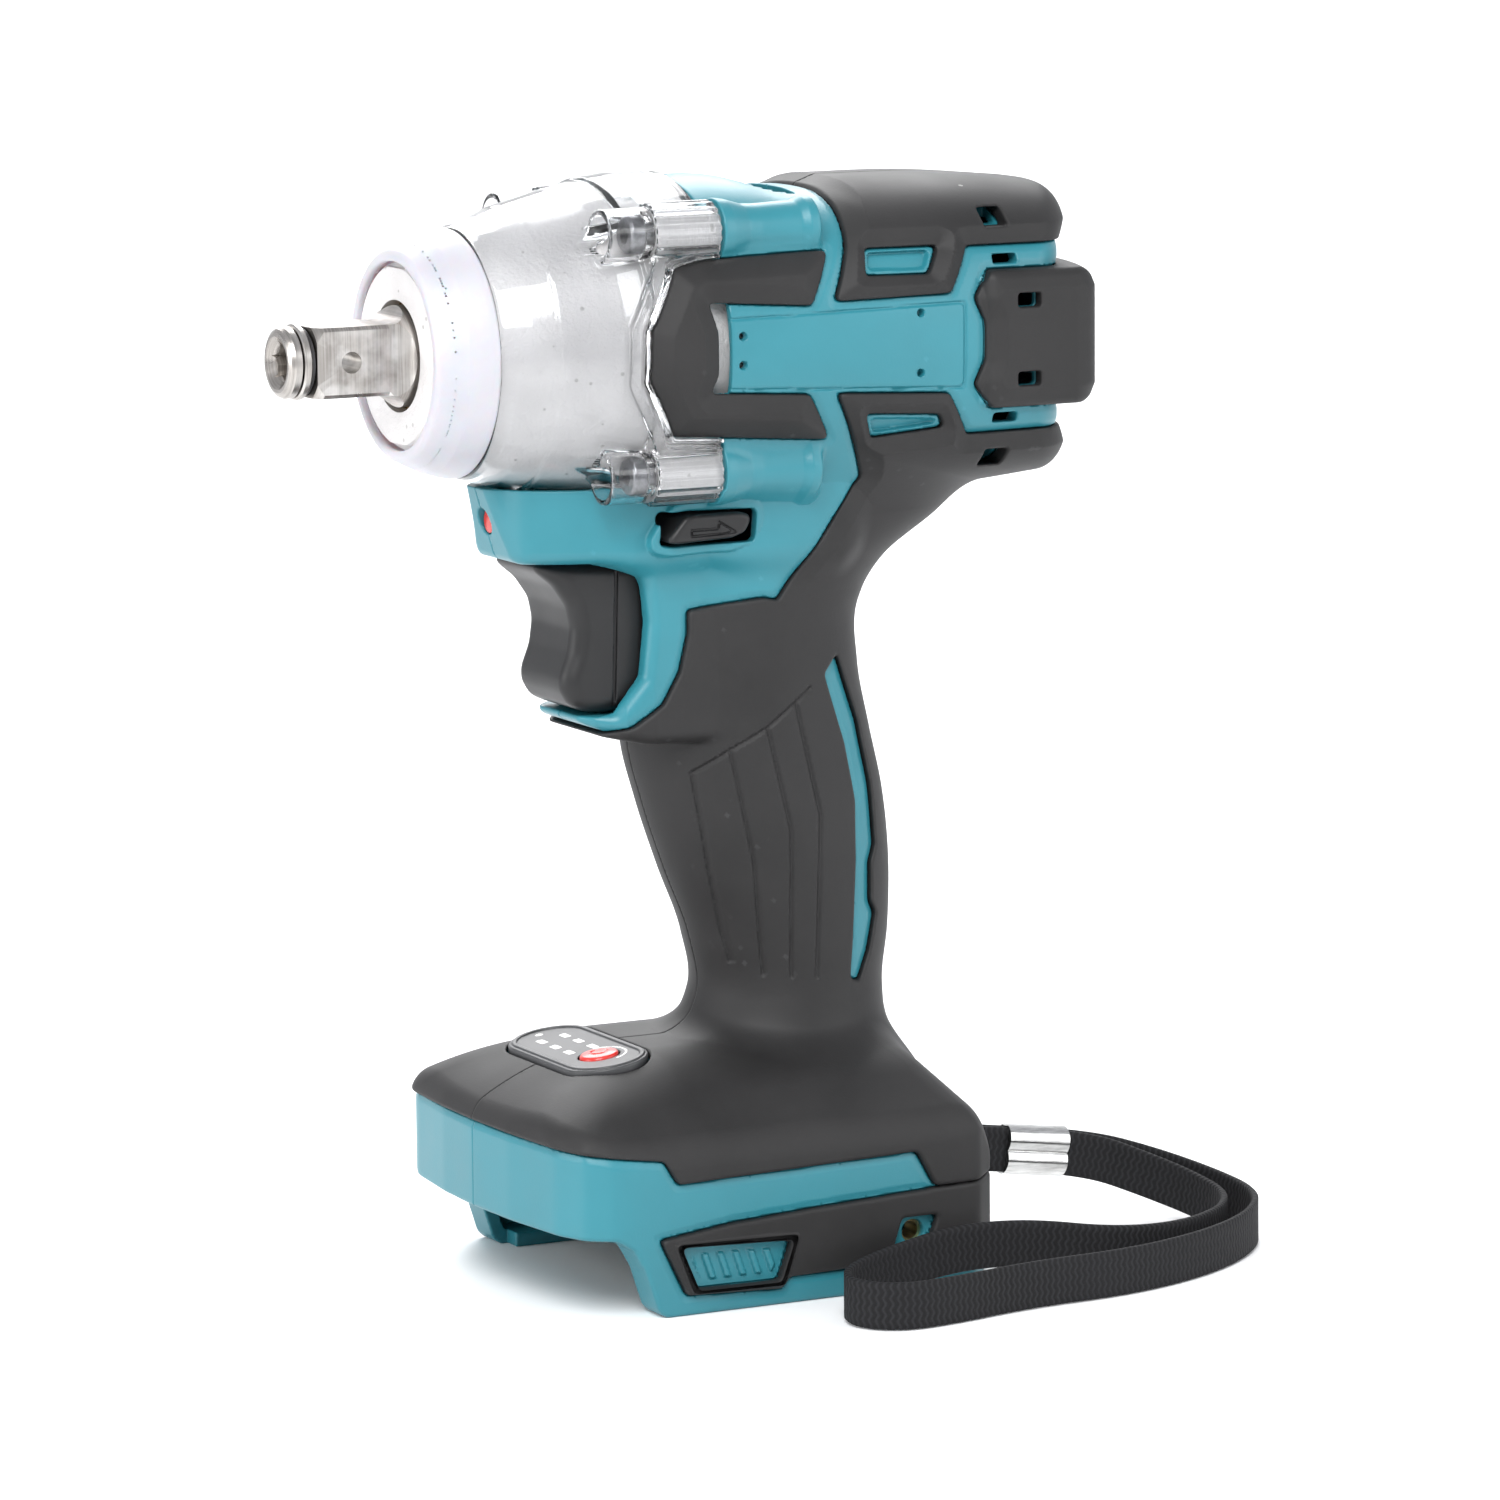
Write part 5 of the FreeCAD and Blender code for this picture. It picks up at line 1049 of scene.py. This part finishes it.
# ---- nose
@dataclass
class NoseCover:
    """The clear shield with its screw bosses, and the milky bumper in front of it."""

    wall: float = 1.35

    def __post_init__(self) -> None:
        """Draws the outlines of the side window and its raised ribs."""
        self.window = Outline([(n - 0.4, h) for n, h in CHEVRON], 0.3)

    def cover(self, p: Spots) -> list[Array]:
        """Field of the clear shield."""
        stops = (33, 36.3, 39.6, 43.4, 47.3, 53.7, 60.7, 66, 75.5)
        radius = through(p.n, stops, (22.3, 23.6, 24.4, 25.8, 26.8, 28.4, 29.9, 30.5, 30.6))
        steps = 0.25 * ((np.clip(p.n - 43.6, 0, 0.5) + np.clip(p.n - 60.2, 0, 0.6) * 1.6) * 2 - 0.6)
        distance = np.hypot(p.y, p.h)
        outside = (distance - radius - steps) * 0.96
        bosses = self.bosses(p)
        window = np.minimum(self.window(p.n, p.h), both(66.0 - p.n, np.abs(p.h) - 9.6))
        beyond = 18.0 - p.side
        rib = both(np.abs(window - 2.6) - 0.9, outside - 1.1, 0.4)
        brim = both(np.abs(window - 0.2) - 0.6, outside - 0.9, 0.3)
        outer = either(either(outside, np.maximum(np.minimum(rib, brim), beyond), 0.5), bosses, 1.2)
        inner = p.pipe_x(through(p.n, (33, 36.3, 45, 56, 60, 76), (21.2, 22.2, 25.3, 27.3, 28.75, 28.95)))
        shell = less(outer, inner, 0.3)
        shell = both(shell, both(34.0 - p.n, p.n - 75.4), 0.4)
        shell = less(shell, np.maximum(window, beyond), 0.4)
        pipe = p.boss()
        sockets = np.minimum(both(pipe - 3.9, p.n - 60.8), both(pipe - 4.3, 62.9 - p.n))
        shell = less(shell, np.minimum(sockets, pipe - 2.2), 0.2)
        chin = both(both(p.side - 16.4, p.h + 24.3), 46 - p.n)
        return [np.maximum(less(shell, chin, 0.3), -(p.h + 25.2) - 3.0 * (p.side > 16.4))]

    def bosses(self, p: Spots) -> Array:
        """Four screw tubes with fluted rear halves."""
        pipe = p.boss()
        turn = np.arctan2(np.abs(p.h) - BOSS_HEIGHT, p.side - BOSS_SIDE)
        flute = 0.5 * (1 - np.abs(np.sin(turn * 9)))
        front = both(pipe - 4.9, both(53.2 - p.n, p.n - 63), 0.5)
        rear = both(pipe - 5.75 + flute, both(62.4 - p.n, p.n - 75.5), 0.4)
        return np.minimum(front, rear)

    def bumper(self, p: Spots) -> list[Array]:
        """Field of the soft ring round the front plate."""
        radius = through(p.n, (22.6, 23.4, 28.2, 32.3, 34.0), (18.4, 19.2, 21.5, 22.65, 22.7))
        room = through(p.n, (22.6, 24.0, 26, 34), (17.0, 17.1, 19.9, 20.8))
        distance = np.hypot(p.y, p.h)
        return [both(both(distance - radius, room - distance, 0.6), both(22.75 - p.n, p.n - 33.75), 0.5)]

    def build(self) -> None:
        """Carves and dresses both pieces."""
        carver = Carver(0.42)
        low, high = (33.0 + NOSE, -32.6, AXIS - 32.6), (76.4 + NOSE, 32.6, AXIS + 32.6)
        cover = carver.carve(["cover"], self.cover, low, high)[0]
        low, high = (22.0 + NOSE, -24.0, AXIS - 24.0), (34.6 + NOSE, 24.0, AXIS + 24.0)
        bumper = carver.carve(["bumper"], self.bumper, low, high)[0]
        for piece, node, finish in ((cover, "clear_cover", "clear_plastic"),
                                    (bumper, "nose_bumper", "bumper_translucent")):
            settle(piece, finish, Body.HOUSING, node)


# ---- controls
@dataclass
class Controls:
    """Trigger, direction lever, mode panel and its button."""

    def __post_init__(self) -> None:
        """Draws the outlines."""
        self.trigger_side = Outline(TRIGGER_SIDE, 0.7)
        self.pad = Outline(LEVER_PAD, 0.4)
        self.arrow = Outline(ARROW, 0.1)

    def trigger(self, p: Spots) -> list[Array]:
        """Field of the finger-shaped trigger."""
        body = both(self.trigger_side(p.n, p.h), p.side - 10.7, 3.2)
        groove = np.abs(p.n - 61.5 - 0.03 * (p.h + 52)) - 0.3
        return [less(body, both(groove, 10.2 - p.side), 0.2)]

    def lever(self, p: Spots) -> list[Array]:
        """Field of the push-through lever with an arrow cut in each end."""
        ends = both(both(self.pad(p.n, p.h), p.side - 22.7, 1.0), 12.0 - p.side)
        core = both(both(72 - p.n, p.n - 80), both(-34.2 - p.h, p.h + 30.0))
        whole = either(ends, both(core, p.side - 21))
        return [less(whole, both(np.abs(self.arrow(p.n, p.h)) - 0.18, 22.3 - p.side), 0.1)]

    @staticmethod
    def level(p: Spots) -> Array:
        """Height over the panel's sloping face."""
        return (p.g - 41.75 - 0.15 * (p.n - 50)) * 0.989

    def panel(self, p: Spots) -> list[Array]:
        """Fields of the panel plate and of the pale marks printed on it."""
        across = p.panel(8.0)
        level = self.level(p)
        rim = np.abs(across + 1.1) - 0.5
        plate = both(both(across, level, 0.4), -level - 1.6)
        plate = np.minimum(plate, both(both(rim, level - 0.35, 0.3), -level - 1.0))
        plate = less(plate, p.button() - 3.9, 0.2)
        marks = np.abs(p.button() - 5.0) - 0.25
        marks = both(marks, 59.5 - p.n)
        for row in (55.6, 60.4):
            for column in (-1.4, 4.4, 10.2):
                box = both(np.abs(p.n - row) - 0.75, np.abs(p.y - column) - 1.5, 0.35)
                marks = np.minimum(marks, box)
        lamp = np.hypot(p.n - 57.4, p.y - 15.2) - 0.8
        marks = both(np.minimum(marks, lamp), both(level - 0.06, -level - 0.5))
        return [plate, marks]

    def button(self, p: Spots) -> list[Array]:
        """Field of the domed red button."""
        across = p.button()
        dome = self.level(p) - 0.75 + 0.03 * across ** 2
        ahead = p.n < BUTTON_STATION
        stem_gap = 0.3 - np.abs(p.y - BUTTON_SIDE) * ahead - 0.3 * ~ahead
        power = both(np.abs(across - 1.5) - 0.2, stem_gap)
        body = both(both(across - 3.6, dome, 0.5), 39.4 - p.g)
        return [less(body, both(power, -dome - 0.25), 0.1)]

    def build(self) -> None:
        """Carves and dresses the pieces."""
        fine = Carver(0.26)
        jobs = (
            (["trigger_grip"], self.trigger, (45, -11.5, -67.5), (70, 11.5, -37.3), ["black_plastic"],
             "trigger", Body.TRIGGER),
            (["lever_bar"], self.lever, (65.5, -23.5, -35.6), (84.2, 23.5, -28.6), ["black_plastic"],
             "direction_lever", Body.LEVER),
            (["panel_plate", "panel_print"], self.panel, (49, -20.5, -133.0), (67, 20.5, -128.4),
             ["panel_label", "panel_marks"], "display_panel", Body.HOUSING),
            (["mode_cap"], self.button, (54, -12.4, -134.0), (62.8, -3.8, -128.0), ["button_red"],
             "mode_button", Body.BUTTON),
        )
        for names, rule, low, high, finishes, node, body in jobs:
            corner = (low[0] + NOSE, low[1], low[2] + AXIS)
            made = fine.carve(names, rule, corner, (high[0] + NOSE, high[1], high[2] + AXIS))
            for piece, finish in zip(made, finishes):
                settle(piece, finish, body, node)


# ---- wrist strap
@dataclass
class WristStrap:
    """Flat webbing on edge, from the pin in the foot round and back to it."""

    width: float = 0.0086
    thickness: float = 0.0013
    length: float = 0.389
    route: Sequence[tuple[float, float, float]] = (
        (46.5, 2.2, 18.0), (62.5, 0.78, 15.8), (88.0, 0.78, 12.2), (99.5, -5.0, 8.8),
        (107.5, -17.0, 5.6), (107.5, -31.5, 4.7), (98.5, -45.0, 4.5), (82.5, -56.5, 4.5),
        (62.0, -63.5, 4.5), (40.0, -64.0, 4.5), (21.5, -68.2, 4.5), (10.5, -68.6, 4.5),
        (4.5, -61.5, 4.6), (8.0, -52.8, 5.0), (19.5, -47.6, 6.2), (34.5, -46.0, 8.4),
        (49.0, -47.2, 8.2), (63.5, -53.0, 6.2), (79.0, -50.5, 5.0), (93.5, -41.5, 4.6),
        (101.5, -30.5, 4.8), (101.8, -18.5, 5.9), (96.5, -9.0, 8.6), (87.5, -0.78, 12.3),
        (62.5, -0.78, 15.8), (46.5, -2.2, 18.0),
    )

    def line(self) -> Array:
        """Points along the smooth line that the strap follows."""
        curve = bpy.data.curves.new("strap_line", "CURVE")
        curve.dimensions = "3D"
        spline = curve.splines.new("NURBS")
        spline.points.add(len(self.route) - 1)
        for point, place in zip(spline.points, self.route):
            point.co = (*[value * MM for value in place], 1)
        spline.order_u = 3
        spline.use_endpoint_u = True
        spline.resolution_u = 14
        obj = bpy.data.objects.new("strap_line", curve)
        bpy.context.scene.collection.objects.link(obj)
        mesh = bpy.data.meshes.new_from_object(obj)
        points = np.array([tuple(vertex.co) for vertex in mesh.vertices])
        bpy.data.meshes.remove(mesh)
        bpy.data.objects.remove(obj)
        bpy.data.curves.remove(curve)
        return points

    def build(self) -> None:
        """Sweeps the webbing's rounded section along the line, with lengthwise coordinates."""
        line = self.line()
        reach = np.concatenate([[0], np.cumsum(np.linalg.norm(np.diff(line, axis=0), axis=1))])
        LOG.info("strap line %.1f mm", reach[-1] / MM)
        heading = np.gradient(line, reach, axis=0)
        heading /= np.linalg.norm(heading, axis=1, keepdims=True)
        upright = np.array([0.0, 0.0, 1.0]) - heading * heading[:, 2:3]
        upright /= np.linalg.norm(upright, axis=1, keepdims=True)
        across = np.cross(upright, heading)
        count = 9
        heights = np.cos(np.linspace(0, math.pi, count)) * self.width / 2
        sides = self.thickness / 2 * np.minimum(1,
                                                0.45 + 4.5 * np.sqrt(np.maximum(1 - (2 * heights / self.width) ** 2, 0)))
        section = [(s, v) for s, v in zip(sides, heights)] + [(-s, v) for s,
                                                              v in zip(sides[::-1], heights[::-1])]
        rings = np.stack([line + across * s + upright * v for s, v in section], 1)
        total, around = len(line), len(section)
        last = (total - 1) * around
        faces = []
        for k in range(0, last, around):
            for j in range(around):
                nxt = (j + 1) % around
                faces.append((k + j, k + nxt, k + around + nxt, k + around + j))
        for j in range(around):
            nxt = (j + 1) % around
            faces += [(total * around, nxt, j), (total * around + 1, last + j, last + nxt)]
        strap = self.band("strap_band", np.concatenate([rings.reshape(-1, 3), line[:1], line[-1:]]),
                          faces)
        self.lengthwise(strap, reach, section, around, total)
        settle(strap, "strap_webbing", Body.HOUSING, "wrist_strap")

    @staticmethod
    def band(name: str, points: Array, faces: list) -> Thing:
        """A smooth mesh of quads, with a fan of triangles at both ends."""
        mesh = bpy.data.meshes.new(name)
        mesh.from_pydata(points.tolist(), [], faces)
        mesh.update()
        mesh.polygons.foreach_set("use_smooth", np.ones(len(mesh.polygons), bool))
        obj = bpy.data.objects.new(name, mesh)
        bpy.context.scene.collection.objects.link(obj)
        return obj

    @staticmethod
    def lengthwise(obj: Thing, reach: Array, section: list, around: int, total: int) -> None:
        """Gives the strap coordinates in metres: along its length and round its section."""
        layer = obj.data.uv_layers.new(name="along")
        rise = [v for _, v in section]
        for loop in obj.data.loops:
            index = loop.vertex_index
            if index < around * total:
                layer.data[loop.index].uv = (reach[index // around], rise[index % around])


# ---- camera, light and floor
@dataclass(frozen=True)
class Studio:
    """Pale floor and soft lights."""

    azimuth: float = -27.179
    elevation: float = 8.847
    roll: float = -0.459
    distance: float = 1.3733
    lens: float = 177.74
    aim: tuple[float, float, float] = (0.0167, 0.0, 0.0957)

    def camera(self) -> None:
        """Places the camera."""
        a, e, r = (math.radians(v) for v in (self.azimuth, self.elevation, self.roll))
        back = Vector((math.sin(a) * math.cos(e), -math.cos(a) * math.cos(e), math.sin(e)))
        right = Vector((math.cos(a), math.sin(a), 0))
        up = back.cross(right)
        turned_right = right * math.cos(r) + up * math.sin(r)
        turned_up = up * math.cos(r) - right * math.sin(r)
        data = bpy.data.cameras.new("camera")
        data.lens = self.lens
        data.sensor_width = 36
        data.clip_start, data.clip_end = 0.05, 20
        obj = bpy.data.objects.new("camera", data)
        bpy.context.scene.collection.objects.link(obj)
        place = Matrix.Identity(4)
        for column, vector in enumerate((turned_right, turned_up, back)):
            for row in range(3):
                place[row][column] = vector[row]
        place.translation = Vector(self.aim) + back * self.distance
        obj.matrix_world = place
        bpy.context.scene.camera = obj

    def area(self, name: str, where: Sequence[float], size: float, power: float,
             colour: Colour = (1, 1, 1)) -> None:
        """A square soft light aimed at the tool."""
        data = bpy.data.lights.new(name, "AREA")
        data.size, data.energy, data.color = size, power, colour
        obj = bpy.data.objects.new(name, data)
        obj.location = where
        aim = Vector((0, 0, 0.1)) - Vector(where)
        obj.rotation_euler = aim.to_track_quat("-Z", "Y").to_euler()
        bpy.context.scene.collection.objects.link(obj)

    def lights(self) -> None:
        """Soft boxes above, in front and behind, and a pale world."""
        self.area("key", (-0.55, -0.75, 0.95), 0.7, 17)
        self.area("fill", (0.9, -0.9, 0.5), 0.9, 7)
        self.area("rim", (0.3, 0.9, 0.9), 0.8, 12)
        self.area("nose", (-1.1, 0.1, 0.35), 0.5, 5)
        world = bpy.data.worlds.new("studio")
        world.use_nodes = True
        ground = world.node_tree.nodes["Background"]
        ground.inputs[0].default_value = (0.93, 0.95, 1.0, 1)
        ground.inputs[1].default_value = 0.72
        bpy.context.scene.world = world
        bpy.context.scene.view_settings.view_transform = "Standard"

    def floor(self) -> None:
        """A pale sweep that rises behind the tool."""
        across, steps = 3.0, 24
        profile = [(-2.0, 0.0)] + [(0.9 + 0.6 * math.sin(math.pi / 2 * k / steps),
                                    0.6 - 0.6 * math.cos(math.pi / 2 * k / steps))
                                   for k in range(steps + 1)] + [(1.5, 2.6)]
        turn = Matrix.Rotation(math.radians(self.azimuth), 4, "Z")
        points = [turn @ Vector((x, y, z)) for y, z in profile for x in (-across, across)]
        faces = np.array([(2 * k, 2 * k + 1, 2 * k + 3, 2 * k + 2) for k in range(len(profile) - 1)])
        obj = mesh_object("floor", np.array([tuple(p) for p in points]), faces)
        obj.data.polygons.foreach_set("use_smooth", np.ones(len(faces), bool))
        paper = Finish("paper", (0.93, 0.93, 0.93), 0.6, mottle=0.01)
        obj.data.materials.append(paper.build(WARDROBE.shaders))


def dress_frame() -> None:
    """Gives every CAD node that is still shown the finish of its material slot."""
    for entry in frame["record"]["subparts"]:
        WARDROBE.dress(frame["nodes"][entry["node"]], entry["material_slot"])


def main() -> None:
    """Builds the scene in order."""
    logging.basicConfig(level=logging.INFO, format="%(message)s")
    studio = Studio()
    studio.camera()
    WristStrap().build()
    Housing().build()
    NoseCover().build()
    Controls().build()
    dress_frame()
    studio.lights()
    studio.floor()


if __name__ == "__main__":
    main()
